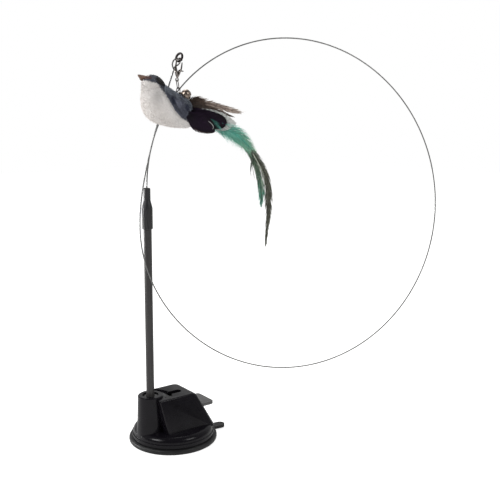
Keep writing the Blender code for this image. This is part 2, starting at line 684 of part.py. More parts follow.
def build_spring(steel):
    """The return spring round the stem, between the disc's boss and the housing's web."""
    low = DISC_BOSS_TOP + FIT_GAP + SPRING_WIRE_RADIUS
    high = WEB_TOP - WEB_THICK - FIT_GAP - SPRING_WIRE_RADIUS
    steps = int(SPRING_TURNS * SPRING_POINTS_PER_TURN)
    turn = np.linspace(0, 2 * math.pi * SPRING_TURNS, steps + 1)
    height = np.linspace(low, high, steps + 1)
    path = np.column_stack([SPRING_RADIUS * np.cos(turn), SPRING_RADIUS * np.sin(turn), height])
    print("return spring: least gap between turns", (high - low) / SPRING_TURNS - 2 * SPRING_WIRE_RADIUS)
    add_mesh("return_spring", sweep(path, SPRING_WIRE_RADIUS, SPRING_WIRE_RADIUS), steel)


def rounded_rectangle(front, back, half, front_corner, back_corner):
    """The outline of the box at one height, with its own corner at the front and at the back."""
    points = arc(back - back_corner, half - back_corner, back_corner, back_corner, 0, math.pi / 2, BOX_CORNER_STEPS)
    points += arc(
        front + front_corner, half - front_corner, front_corner, front_corner, math.pi / 2, math.pi, BOX_CORNER_STEPS
    )
    mirrored = [(x, -y) for x, y in reversed(points)]
    return points + mirrored


def box_shape(low, high, inset, rounded):
    """The drafted box between two heights, drawn in all round by the inset."""
    levels = [low]
    if rounded:
        turns = np.linspace(0, math.pi / 2, BOX_ROUND_STEPS + 1)
        levels += [high - BOX_BACK_TOP_ROUND * (1 - math.sin(t)) for t in turns]
        levels += [high - BOX_TOP_EDGE_ROUND * (1 - math.sin(t)) for t in turns[:-1]]
    else:
        levels += [high]
    points = []
    levels = sorted(set(levels))
    for level in levels:
        share = (BOX_TOP - level) / (BOX_TOP - SKIRT_TOP)
        front = BOX_TOP_FRONT + (BOX_FOOT_FRONT - BOX_TOP_FRONT) * share + inset
        back = BOX_TOP_BACK + (BOX_FOOT_BACK - BOX_TOP_BACK) * share - inset
        half = BOX_TOP_HALF_WIDTH + (BOX_FOOT_HALF_WIDTH - BOX_TOP_HALF_WIDTH) * share - inset
        if rounded:
            back -= edge_drop(high - level, BOX_BACK_TOP_ROUND)
            half -= edge_drop(high - level, BOX_TOP_EDGE_ROUND)
        corner = BOX_BACK_CORNER - inset
        points += [(x, y, level) for x, y in rounded_rectangle(front, back, half, BOX_FRONT_CORNER, corner)]
    sides = len(points) // len(levels)
    return np.array(points), rings_to_faces(len(levels), sides)


def edge_drop(below, radius):
    """How far a rounded edge has drawn in, this far below the top face."""
    if below >= radius:
        return 0.0
    return radius - math.sqrt(radius**2 - (radius - below) ** 2)


def build_housing(plastic):
    """The rigid shell: a round skirt, a drafted box, the rod's socket boss, the cam web and the window."""
    shoulder_radius = SKIRT_RADIUS - SKIRT_STEP
    shoulder = arc(
        shoulder_radius - SKIRT_SHOULDER_ROUND,
        SKIRT_SHOULDER,
        SKIRT_SHOULDER_ROUND,
        SKIRT_SHOULDER_ROUND,
        0,
        math.pi / 2,
        6,
    )
    band_top = SKIRT_BOTTOM + SKIRT_BAND_HEIGHT
    profile = [(0, SKIRT_BOTTOM), (SKIRT_RADIUS, SKIRT_BOTTOM), (SKIRT_RADIUS, band_top - FIT_GAP)]
    profile += [(shoulder_radius, band_top), *shoulder, (0, SKIRT_TOP + SKIRT_CROWN)]
    housing = add_mesh("housing", revolve(profile, FINE_SEGMENTS), plastic)
    box = add_cutter("housing_box_shape", box_shape(SKIRT_TOP - BOX_FOOT_DEPTH, BOX_TOP, 0.0, True))
    combine(housing, box, "UNION")

    inner_radius = shoulder_radius - HOUSING_WALL
    skirt_ceiling = SKIRT_TOP - HOUSING_WALL
    under = [(0, SKIRT_BOTTOM - CUT_OVERRUN), (inner_radius, SKIRT_BOTTOM - CUT_OVERRUN)]
    under += [(inner_radius, SKIRT_SHOULDER), (inner_radius - SKIRT_SHOULDER_ROUND, skirt_ceiling)]
    under += [(0, skirt_ceiling)]
    combine(housing, add_cutter("skirt_hollow", revolve(under, FINE_SEGMENTS)), "DIFFERENCE")
    web_bottom = WEB_TOP - WEB_THICK
    lower = box_shape(SKIRT_BOTTOM, web_bottom, HOUSING_WALL, False)
    combine(housing, add_cutter("lower_hollow", lower), "DIFFERENCE")
    upper = box_shape(WEB_TOP, BOX_TOP - HOUSING_WALL, HOUSING_WALL, False)
    combine(housing, add_cutter("upper_hollow", upper), "DIFFERENCE")

    stem_hole = cylinder(STEM_RADIUS + WEB_HOLE_GAP, web_bottom - CUT_OVERRUN, WEB_TOP + CUT_OVERRUN)
    combine(housing, add_cutter("web_hole", stem_hole), "DIFFERENCE")

    boss_foot = SKIRT_TOP - BOSS_FOOT_DROP
    boss_profile = [(0, boss_foot), (BOSS_FOOT_RADIUS, boss_foot), (BOSS_WAIST_RADIUS, BOSS_WAIST)]
    boss_profile += [(BOSS_TOP_RADIUS, BOSS_TOP - BOSS_EDGE_ROUND)]
    boss_profile += [(BOSS_TOP_RADIUS - BOSS_EDGE_ROUND, BOSS_TOP), (0, BOSS_TOP)]
    points, faces = revolve(boss_profile, MEDIUM_SEGMENTS)
    boss = add_cutter("boss_shape", (points + (BOSS_CENTRE_X, 0, 0), faces))
    combine(housing, boss, "UNION")

    window_half = LEVER_HALF_WIDTH + WINDOW_SIDE_GAP
    window_outline = [(BOX_TOP_BACK - HOUSING_WALL, -window_half), (LEVER_REACH, -window_half)]
    window_outline += [(LEVER_REACH, window_half), (BOX_TOP_BACK - HOUSING_WALL, window_half)]
    window = prism(window_outline, WEB_TOP, WINDOW_TOP)
    combine(housing, add_cutter("lever_window", window), "DIFFERENCE")

    moat = arc(BOSS_CENTRE_X, 0, MOAT_OUTER_RADIUS, MOAT_OUTER_RADIUS, -MOAT_HALF_ANGLE, MOAT_HALF_ANGLE, MOAT_STEPS)
    moat += arc(BOSS_CENTRE_X, 0, MOAT_INNER_RADIUS, MOAT_INNER_RADIUS, MOAT_HALF_ANGLE, -MOAT_HALF_ANGLE, MOAT_STEPS)
    groove = prism(moat, BOX_TOP - MOAT_DEPTH, BOX_TOP + CUT_OVERRUN)
    combine(housing, add_cutter("top_moat", groove), "DIFFERENCE")
    slot_start = BOSS_CENTRE_X + (MOAT_INNER_RADIUS + MOAT_OUTER_RADIUS) / 2
    slot_end = BOSS_CENTRE_X + MOAT_OUTER_RADIUS + SLOT_LENGTH
    half = SLOT_WIDTH / 2
    slot = [(slot_start, SLOT_CENTRE_Y - half)]
    slot += arc(slot_end - half, SLOT_CENTRE_Y, half, half, -math.pi / 2, math.pi / 2, 8)
    slot += [(slot_start, SLOT_CENTRE_Y + half)]
    opening = prism(slot, BOX_TOP - HOUSING_WALL - CUT_OVERRUN, BOX_TOP + CUT_OVERRUN)
    combine(housing, add_cutter("top_slot", opening), "DIFFERENCE")
    bore = cylinder(BOSS_BORE_RADIUS, BOSS_BORE_FLOOR, BOSS_TOP + CUT_OVERRUN, (BOSS_CENTRE_X, 0))
    combine(housing, add_cutter("boss_bore", bore), "DIFFERENCE")


def build_lever(joint, plastic):
    """The lever: a flat tab that leaves the window, with a cam disc on each side of the stem."""
    half = LEVER_HALF_WIDTH
    corner = LEVER_CORNER
    outline = [(LEVER_FRONT, -half)]
    outline += arc(LEVER_REACH - corner, corner - half, corner, corner, -math.pi / 2, 0, 5)
    outline += arc(LEVER_REACH - corner, half - corner, corner, corner, 0, math.pi / 2, 5)
    outline += [(LEVER_FRONT, half)]
    lever = add_mesh("lever", prism(outline, LEVER_BOTTOM, LEVER_TOP), plastic, joint)
    for side, low in (("near", -CAM_OUTER_Y), ("far", CAM_INNER_Y)):
        centre = (CAM_ECCENTRICITY, PIN_HEIGHT)
        disc = cylinder(CAM_RADIUS, low, low + CAM_THICK, centre, MEDIUM_SEGMENTS, axis=1)
        combine(lever, add_cutter(f"cam_{side}_shape", disc, joint), "UNION")
    reach = CAM_OUTER_Y + CUT_OVERRUN
    hole = cylinder(PIN_RADIUS + FIT_GAP, -reach, reach, (0, PIN_HEIGHT), SMALL_SEGMENTS, axis=1)
    combine(lever, add_cutter("lever_pin_hole", hole, joint), "DIFFERENCE")


def build_rod(joint, plug_plastic, rod_finish, ferrule_plastic):
    """The plug in the boss, the rod in the plug and the ferrule on the rod, all on the toy frame's Z axis."""
    rod_bore = ROD_RADIUS + FIT_GAP
    profile = [(0, BOSS_BORE_FLOOR + FIT_GAP), (PLUG_RADIUS, BOSS_BORE_FLOOR + FIT_GAP)]
    profile += [(PLUG_RADIUS, PLUG_TOP), (rod_bore, PLUG_TOP)]
    profile += [(rod_bore, ROD_BOTTOM - FIT_GAP), (0, ROD_BOTTOM - FIT_GAP)]
    plug = add_mesh("rod_plug", revolve(profile, MEDIUM_SEGMENTS), plug_plastic, joint)
    for notch in range(PLUG_NOTCHES):
        angle = math.pi / 3 + notch * 2 * math.pi / PLUG_NOTCHES
        turn = np.array([[math.cos(angle), -math.sin(angle)], [math.sin(angle), math.cos(angle)]])
        inner = PLUG_RADIUS - PLUG_NOTCH_DEPTH
        outer = PLUG_RADIUS + CUT_OVERRUN
        half = PLUG_NOTCH_WIDTH / 2
        corners = np.array([(inner, -half), (outer, -half), (outer, half), (inner, half)]) @ turn.T
        cut = prism(corners, PLUG_TOP - PLUG_NOTCH_HEIGHT, PLUG_TOP + CUT_OVERRUN)
        combine(plug, add_cutter(f"plug_notch_{notch + 1}", cut, joint), "DIFFERENCE")

    add_mesh("rod", cylinder(ROD_RADIUS, ROD_BOTTOM, ROD_TOP), rod_finish, joint)

    profile = [(rod_bore, FERRULE_BOTTOM), (FERRULE_RADIUS - FERRULE_EDGE, FERRULE_BOTTOM)]
    profile += [(FERRULE_RADIUS, FERRULE_BOTTOM + FERRULE_EDGE), (FERRULE_RADIUS, FERRULE_SHOULDER)]
    profile += [(FERRULE_NECK_RADIUS, FERRULE_SHOULDER + FERRULE_TAPER)]
    profile += [(FERRULE_NECK_RADIUS, FERRULE_TOP - FERRULE_EDGE), (FERRULE_NECK_RADIUS - FERRULE_EDGE, FERRULE_TOP)]
    wire_bore = WIRE_RADIUS + WIRE_BORE_GAP
    profile += [(wire_bore, FERRULE_TOP), (wire_bore, ROD_TOP + FIT_GAP), (rod_bore, ROD_TOP + FIT_GAP)]
    add_mesh("rod_ferrule", revolve(profile, FERRULE_FLATS), ferrule_plastic, joint)


def hoop_route():
    """The spring wire's centre line, from its foot in the ferrule to the knot below its eye.

    Its length and its bend at each point are shares of the hoop's radius and of one over it. The angle is
    the running sum of the bend, and the place the running sum of the direction, in a plane that is yawed
    and leans back. Late in its length the wire drifts forwards, square to that plane.
    """
    share = np.linspace(0, 1, HOOP_FINE_STEPS)
    step = HOOP_RADIUS * HOOP_ARC_share / (HOOP_FINE_STEPS - 1)
    bend = np.interp(share, HOOP_LENGTH_shares, HOOP_BEND_shares) / HOOP_RADIUS
    angle = math.pi / 2 - np.concatenate([[0], np.cumsum((bend[1:] + bend[:-1]) / 2 * step)])
    middle = (angle[1:] + angle[:-1]) / 2
    along = np.concatenate([[0], np.cumsum(np.cos(middle) * step)])
    up = np.concatenate([[0], np.cumsum(np.sin(middle) * step)])
    late = np.clip((share - TIP_DRIFT_START_share) / (1 - TIP_DRIFT_START_share), 0, 1)
    drift = HOOP_RADIUS * TIP_DRIFT_share * late**TIP_DRIFT_POWER
    yaw_cos, yaw_sin = math.cos(HOOP_YAW), math.sin(HOOP_YAW)
    lean_cos, lean_sin = math.cos(HOOP_LEAN), math.sin(HOOP_LEAN)
    across = np.array([yaw_cos, yaw_sin, 0])
    rising = np.array([-yaw_sin * lean_sin, yaw_cos * lean_sin, lean_cos])
    away = np.array([-yaw_sin * lean_cos, yaw_cos * lean_cos, -lean_sin])
    route = np.outer(along, across) + np.outer(up, rising) - np.outer(drift, away)
    return route + (0, 0, WIRE_BEND_START)


def eye_route():
    """The eye's centre line: a teardrop that leaves the hoop's end, crosses its own strand and stops."""
    route = hoop_route()
    strand = unit(route[-1] - route[-3])
    sideways = np.array([-math.cos(EYE_TURN), -math.sin(EYE_TURN), 0])
    sideways = unit(sideways - strand * np.dot(sideways, strand))
    proud = np.cross(strand, sideways)
    frame = np.array([strand * EYE_LENGTH, sideways * EYE_WIDTH, proud * EYE_CROSSING])
    knot = route[-1]
    return smooth_curve(np.vstack([knot, knot + np.array(EYE_POINT_shares) @ frame]), EYE_STEPS)


def build_wire(joint, spring_steel):
    """The spring wire in one piece: a straight foot, the hoop and the eye."""
    route = hoop_route()
    chosen = np.linspace(0, len(route) - 1, HOOP_POINTS).round().astype(int)
    foot = np.array([(0, 0, WIRE_FOOT), (0, 0, (WIRE_FOOT + WIRE_BEND_START) / 2)])
    path = np.vstack([foot, route[chosen], eye_route()[1:]])
    add_mesh("spring_wire", sweep(path, WIRE_RADIUS, WIRE_RADIUS), spring_steel, joint)


def lure_shift():
    """How far the eye's far end lies from where the lure's places are measured."""
    furthest = np.array(EYE_POINT_shares)[:, 0].argmax() + 1
    return eye_route()[furthest * EYE_STEPS] - EYE_REST


def ring_pivot():
    """The place on the eye that lies deepest in the split ring, and the eye's direction there."""
    eye = eye_route() - lure_shift()
    nearest = np.linalg.norm(eye - np.array(RING_CENTRE), axis=1).argmin()
    return eye[nearest], unit(eye[nearest + 1] - eye[nearest - 1])


def build_split_ring(joint, steel):
    """Two turns of flat wire side by side, whose plane leans and turns so that the eye passes through it."""
    long_axis = np.array([math.sin(RING_LEAN), 0, math.cos(RING_LEAN)])
    level_axis = np.array([math.cos(RING_LEAN), 0, -math.sin(RING_LEAN)])
    wide_axis = math.cos(RING_TURN) * level_axis - math.sin(RING_TURN) * np.array([0, 1, 0])
    normal = np.cross(long_axis, wide_axis)
    turn = np.linspace(0, 2 * math.pi * RING_TURNS, RING_TURNS * RING_POINTS_PER_TURN + 1)
    offset = (turn / (2 * math.pi) - RING_TURNS / 2) * RING_PITCH
    path = np.array(RING_CENTRE) + RING_RADIUS * np.outer(np.cos(turn), long_axis)
    path += RING_RADIUS * np.outer(np.sin(turn), wide_axis) + np.outer(offset, normal)
    print("split ring: least gap between turns", RING_PITCH - RING_WIRE_THICK)
    shape = sweep(path, RING_WIDTH / 2, RING_WIRE_THICK / 2, RING_SIDES, first_normal=long_axis)
    add_mesh("split_ring", shape, steel, joint)


def clasp_frame():
    """The clasp's axes in the toy frame: across it, along it towards the hook, and through it."""
    across = np.array([math.cos(CLASP_YAW), math.sin(CLASP_YAW), 0])
    along = unit((math.sin(CLASP_LEAN), 0, math.cos(CLASP_LEAN)))
    across = unit(across - along * np.dot(across, along))
    return np.array([across, along, np.cross(across, along)])


def on_clasp(shares, through=0.0):
    """Places in the toy frame from shares of the clasp's half width and of its length."""
    shares = np.asarray(shares, float)
    flat = np.column_stack(
        [shares[:, 0] * CLASP_HALF_WIDTH, shares[:, 1] * CLASP_LENGTH, np.full(len(shares), through)]
    )
    return np.array(CLASP_CENTRE) + flat @ clasp_frame()


def clasp_slab(shares, thick):
    """A flat plate of the clasp's outline, centred on the clasp's plane."""
    low = on_clasp(shares, -thick / 2)
    high = on_clasp(shares, thick / 2)
    return np.vstack([low, high]), rings_to_faces(2, len(low))


def clasp_round(centre_share, radius, thick, segments=SMALL_SEGMENTS):
    """A disc square to the clasp's plane, at a place given in shares."""
    angles = np.arange(segments) * 2 * math.pi / segments
    offsets = np.column_stack([np.cos(angles) * radius / CLASP_HALF_WIDTH, np.sin(angles) * radius / CLASP_LENGTH])
    return clasp_slab(np.asarray(centre_share) + offsets, thick)


def tail_ring_centre():
    """The middle of the small ring at the clasp's tail."""
    return on_clasp([(0.0, -1.0)])[0]


def clasp_pivot():
    """The inside of the hook's crown, where the split ring bears."""
    return np.array(CLASP_CENTRE) + clasp_frame()[1] * (CLASP_ARCH - CLASP_WIRE_RADIUS)


def build_clasp(joint, gate_joint, steel, gate_steel, rivet_steel):
    """The lobster clasp: hook and body with the tail ring, the sprung gate and the rivet it turns on."""
    across, along, _ = clasp_frame()
    turns = np.linspace(CLASP_MOUTH_ANGLE, math.pi, 11)
    centre = np.array(CLASP_CENTRE)
    hook = centre + np.outer(np.cos(turns) * CLASP_HALF_WIDTH, across) + np.outer(np.sin(turns) * CLASP_ARCH, along)
    path = np.vstack([hook, on_clasp(CLASP_ARM_shares)])
    girth = CLASP_WIRE_RADIUS * np.concatenate([np.ones(len(hook)), CLASP_ARM_GIRTH_shares])
    girth[0] = CLASP_WIRE_RADIUS / 2
    body = add_mesh("clasp_body", sweep(path, girth, girth, RING_SIDES), steel, joint)
    slab = add_cutter("clasp_body_shape", clasp_slab(CLASP_BODY_shares, CLASP_THICK), joint)
    combine(body, slab, "UNION")
    angles = np.arange(16) * 2 * math.pi / 16
    ring = tail_ring_centre() + np.outer(np.cos(angles) * CLASP_TAIL_RADIUS, across)
    ring = ring + np.outer(np.sin(angles) * CLASP_TAIL_RADIUS, along)
    tail = sweep(ring, CLASP_TAIL_WIRE, CLASP_TAIL_WIRE, closed=True)
    combine(body, add_cutter("clasp_tail_shape", tail, joint), "UNION")
    mouth = [(-0.32, -0.3), (2.0, -0.3), (2.0, -0.72), (-0.32, -0.72)]
    combine(body, add_cutter("gate_slot", clasp_slab(mouth, CLASP_SLOT), joint), "DIFFERENCE")
    rivet_hole = clasp_round(GATE_PIVOT_shares, RIVET_RADIUS + FIT_GAP, CLASP_THICK + CUT_OVERRUN)
    combine(body, add_cutter("rivet_hole", rivet_hole, joint), "DIFFERENCE")

    arm_path = on_clasp(GATE_ARM_shares)
    arm = sweep(arm_path, GATE_THICK / 2, GATE_THICK / 2, RING_SIDES)
    gate = add_mesh("clasp_gate", arm, gate_steel, gate_joint)
    hub = clasp_round(GATE_PIVOT_shares, GATE_HUB_RADIUS, GATE_THICK)
    combine(gate, add_cutter("gate_hub_shape", hub, gate_joint), "UNION")
    nub_path = on_clasp(GATE_NUB_shares)
    nub_girth = np.array([GATE_THICK / 2, GATE_THICK / 2, GATE_THICK / 3])
    nub = sweep(nub_path, nub_girth, nub_girth)
    combine(gate, add_cutter("gate_nub_shape", nub, gate_joint), "UNION")
    combine(gate, add_cutter("gate_rivet_hole", rivet_hole, gate_joint), "DIFFERENCE")

    pin = clasp_round(GATE_PIVOT_shares, RIVET_RADIUS, CLASP_THICK + 2 * RIVET_OVERHANG)
    add_mesh("clasp_rivet", pin, rivet_steel, joint)


def link_axes():
    """The oval link's own axes: along it, upwards, and across it through the clasp's plane."""
    along = unit((math.sin(LINK_LEAN), 0, math.cos(LINK_LEAN)))
    across = clasp_frame()[2]
    across = unit(across - along * np.dot(across, along))
    return along, across


def link_top():
    """The middle of the link's upper bend, which rests on the tail ring's lowest wire."""
    along = clasp_frame()[1]
    rest = CLASP_TAIL_WIRE + FIT_GAP + LINK_WIRE_RADIUS
    return tail_ring_centre() - along * (CLASP_TAIL_RADIUS - rest)


def link_bottom():
    """The middle of the link's lower bend, on which the bird's bail rests."""
    along, _ = link_axes()
    return link_top() - along * (LINK_STRAIGHT + 2 * LINK_HALF_WIDTH)


def build_link(joint, steel):
    """The oval link between the clasp's tail ring and the bird's bail."""
    along, across = link_axes()
    upper = link_top() - along * LINK_HALF_WIDTH
    lower = upper - along * LINK_STRAIGHT
    turns = np.linspace(0, math.pi, LINK_BEND_STEPS + 1)
    top = upper + LINK_HALF_WIDTH * (np.outer(np.cos(turns), across) + np.outer(np.sin(turns), along))
    bottom = lower - LINK_HALF_WIDTH * (np.outer(np.cos(turns), across) + np.outer(np.sin(turns), along))
    shape = sweep(np.vstack([top, bottom]), LINK_WIRE_RADIUS, LINK_WIRE_RADIUS, closed=True)
    add_mesh("chain_link", shape, steel, joint)


def bail_route():
    """The bail's centre line: a leg, a round bend over the link's lower wire, and the other leg."""
    crest = link_bottom() + (0, 0, LINK_WIRE_RADIUS + FIT_GAP + BAIL_WIRE_RADIUS)
    centre = crest - (0, 0, BAIL_BEND_RADIUS)
    turns = np.linspace(0, math.pi, BAIL_BEND_STEPS + 1)
    bend = centre + BAIL_BEND_RADIUS * np.column_stack([np.cos(turns), np.zeros(len(turns)), np.sin(turns)])
    left = (BAIL_LEFT_END[0], BIRD_DEPTH, BAIL_LEFT_END[1])
    right = (BAIL_RIGHT_END[0], BIRD_DEPTH, BAIL_RIGHT_END[1])
    return np.vstack([right, bend, left])


def bird_body_shape(grow=0.0):
    """The plush body, grown all round by the given length."""
    stations = [(x, BIRD_DEPTH, z, high, deep) for x, z, high, deep in BODY_STATIONS]
    return loft(stations, BIRD_SIDES, BIRD_SLANT, grow)


def ball(centre, radii, rings, sides):
    """An ellipsoid with poles along the depth axis, as rings of points between two small end rings."""
    slices = np.linspace(0, math.pi, rings + 2)[1:-1]
    angles = np.arange(sides) * 2 * math.pi / sides
    points = []
    for slope in slices:
        ring = np.column_stack(
            [
                radii[0] * math.sin(slope) * np.cos(angles),
                np.full(sides, radii[1] * math.cos(slope)),
                radii[2] * math.sin(slope) * np.sin(angles),
            ]
        )
        points.append(np.asarray(centre) + ring)
    return np.vstack(points), rings_to_faces(len(slices), sides)


def cut_to_wing(target, side, scale, joint):
    """Keeps only one side's wing patch of the target, its outline scaled about its own middle."""
    outline = np.array(WING_OUTLINE)
    middle = outline.mean(axis=0)
    outline = middle + (outline - middle) * scale
    inner = BIRD_DEPTH + side * FIT_GAP / (2 * scale**2)
    outer = BIRD_DEPTH + side * (BODY_STATIONS[5][3] + WING_THICK + CUT_OVERRUN)
    patch = prism(outline, min(inner, outer), max(inner, outer), axis=1)
    combine(target, add_cutter(f"{target.name}_outline", patch, joint), "INTERSECT")


def build_bird(joint, plush, head_plush, horn, wing_felt, steel):
    """The lure's stuffed body and head, its beak, its wings and the wire bail in its back."""
    body = add_mesh("bird_body", bird_body_shape(), plush, joint)
    body_room = add_cutter("body_clearance", bird_body_shape(FIT_GAP), joint)
    route = bail_route()
    bail = sweep(route, BAIL_WIRE_RADIUS, BAIL_WIRE_RADIUS)
    add_mesh("bird_bail", bail, steel, joint)
    deeper = route.copy()
    deeper[0] += unit(route[0] - route[1]) * FIT_GAP
    deeper[-1] += unit(route[-1] - route[-2]) * FIT_GAP
    bail_room = sweep(deeper, BAIL_WIRE_RADIUS + FIT_GAP, BAIL_WIRE_RADIUS + FIT_GAP)
    bail_cut = add_cutter("bail_clearance", bail_room, joint)
    combine(body, bail_cut, "DIFFERENCE")

    head_place = (HEAD_CENTRE[0], BIRD_DEPTH, HEAD_CENTRE[1])
    head = add_mesh("bird_head", ball(head_place, HEAD_RADII, HEAD_RINGS, BIRD_SIDES), head_plush, joint)
    combine(head, body_room, "DIFFERENCE")
    grown = tuple(radius + FIT_GAP for radius in HEAD_RADII)
    head_room = add_cutter("head_clearance", ball(head_place, grown, HEAD_RINGS, BIRD_SIDES), joint)

    stations = [(x, BIRD_DEPTH, z, high, deep) for x, z, high, deep in BEAK_STATIONS]
    beak = add_mesh("beak", loft(stations, 12), horn, joint)
    combine(beak, head_room, "DIFFERENCE")

    wings = []
    rooms = [body_room]
    for side, name in ((-1, "wing_near"), (1, "wing_far")):
        wing = add_mesh(name, bird_body_shape(FIT_GAP + WING_THICK), wing_felt, joint)
        cut_to_wing(wing, side, 1, joint)
        for room in (body_room, bail_cut, head_room):
            combine(wing, room, "DIFFERENCE")
        wings.append(wing)
        room = add_cutter(f"{name}_clearance", bird_body_shape(2 * FIT_GAP + WING_THICK), joint)
        cut_to_wing(room, side, WING_CLEARANCE_share, joint)
        rooms.append(room)
    return rooms, wings


def build_feathers(joint, rooms, dressings):
    """Each feather is a flat swelling blade whose root stops against the body and the wings."""
    for name, stations in FEATHERS.items():
        placed = [(x, BIRD_DEPTH + y, z, high, thick) for x, y, z, high, thick in stations]
        feather = add_mesh(name, loft(placed, FEATHER_SIDES), dressings[name], joint)
        for room in rooms:
            combine(feather, room, "DIFFERENCE")


def bell_place():
    """The bell's centre and the way from the bail's leg out to it."""
    route = bail_route()
    right, bend = route[0], route[1]
    leg = bend + (right - bend) * BELL_HANG_DROP / (bend[2] - right[2])
    out = unit(BELL_OUT)
    reach = BELL_RADIUS + 2 * BELL_LOOP_RADIUS - BELL_LOOP_WIRE - FIT_GAP - BAIL_WIRE_RADIUS
    return leg + out * (reach - BELL_LOOP_WIRE), out, leg


def build_bell(joint, wings, shell_metal, pellet_metal):
    """The jingle bell: a slotted shell with a raised band and a loop round the bail, and its pellet."""
    centre, out, _ = bell_place()
    side = unit(np.cross(out, (0, 0, 1)))
    up = np.cross(side, out)
    axes = np.array([side, up, out])

    def placed(shape):
        points, faces = shape
        return np.asarray(points) @ axes + centre, faces

    def globe(radius, rings):
        slices = np.linspace(-math.pi / 2, math.pi / 2, rings + 1)
        profile = [(radius * math.cos(s), radius * math.sin(s)) for s in slices[1:-1]]
        return revolve([(0, -radius), *profile, (0, radius)], SMALL_SEGMENTS)

    shell = add_mesh("bell_shell", placed(globe(BELL_RADIUS, 12)), shell_metal, joint)
    half_band = BELL_BAND / 2
    hoop = BELL_RADIUS + BELL_BAND_PROUD
    inner = BELL_RADIUS - BELL_WALL / 2
    band = revolve([(inner, -half_band), (hoop, -half_band), (hoop, half_band), (inner, half_band)], SMALL_SEGMENTS)
    combine(shell, add_cutter("bell_band_shape", placed(band), joint), "UNION")
    turns = np.arange(12) * 2 * math.pi / 12
    loop_centre = -(BELL_RADIUS + BELL_LOOP_RADIUS - BELL_LOOP_WIRE)
    loop = np.column_stack(
        [np.cos(turns) * BELL_LOOP_RADIUS, np.zeros(12), np.sin(turns) * BELL_LOOP_RADIUS + loop_centre]
    )
    loop_shape = sweep(loop, BELL_LOOP_WIRE, BELL_LOOP_WIRE, closed=True)
    combine(shell, add_cutter("bell_loop_shape", placed(loop_shape), joint), "UNION")
    hollow = add_cutter("bell_hollow", placed(globe(BELL_RADIUS - BELL_WALL, 12)), joint)
    combine(shell, hollow, "DIFFERENCE")
    half_slot = BELL_SLOT_WIDTH / 2
    reach = BELL_RADIUS + CUT_OVERRUN
    rounded = BELL_RADIUS * math.cos(math.pi / 5)
    slit = [(-rounded, -half_slot), (rounded, -half_slot), (rounded, half_slot), (-rounded, half_slot)]
    combine(shell, add_cutter("bell_slot", placed(prism(slit, 0, reach)), joint), "DIFFERENCE")
    for number, spot in enumerate((-rounded, rounded)):
        eyelet = cylinder(BELL_SLOT_HOLE, 0, reach, (spot, 0), 10)
        combine(shell, add_cutter(f"bell_slot_end_{number + 1}", placed(eyelet), joint), "DIFFERENCE")

    rest = BELL_RADIUS - BELL_WALL - FIT_GAP - PELLET_RADIUS
    place = centre - np.array([0, 0, rest])
    add_mesh("bell_pellet", ball(place, (PELLET_RADIUS,) * 3, 7, 12), pellet_metal, joint)
    loop_room = sweep(loop, BELL_LOOP_WIRE + FIT_GAP, BELL_LOOP_WIRE + FIT_GAP, closed=True)
    for wing in wings:
        for part, shape in (("bell", globe(hoop + FIT_GAP, 12)), ("bell_loop", loop_room)):
            combine(wing, add_cutter(f"{wing.name}_{part}_room", placed(shape), joint), "DIFFERENCE")


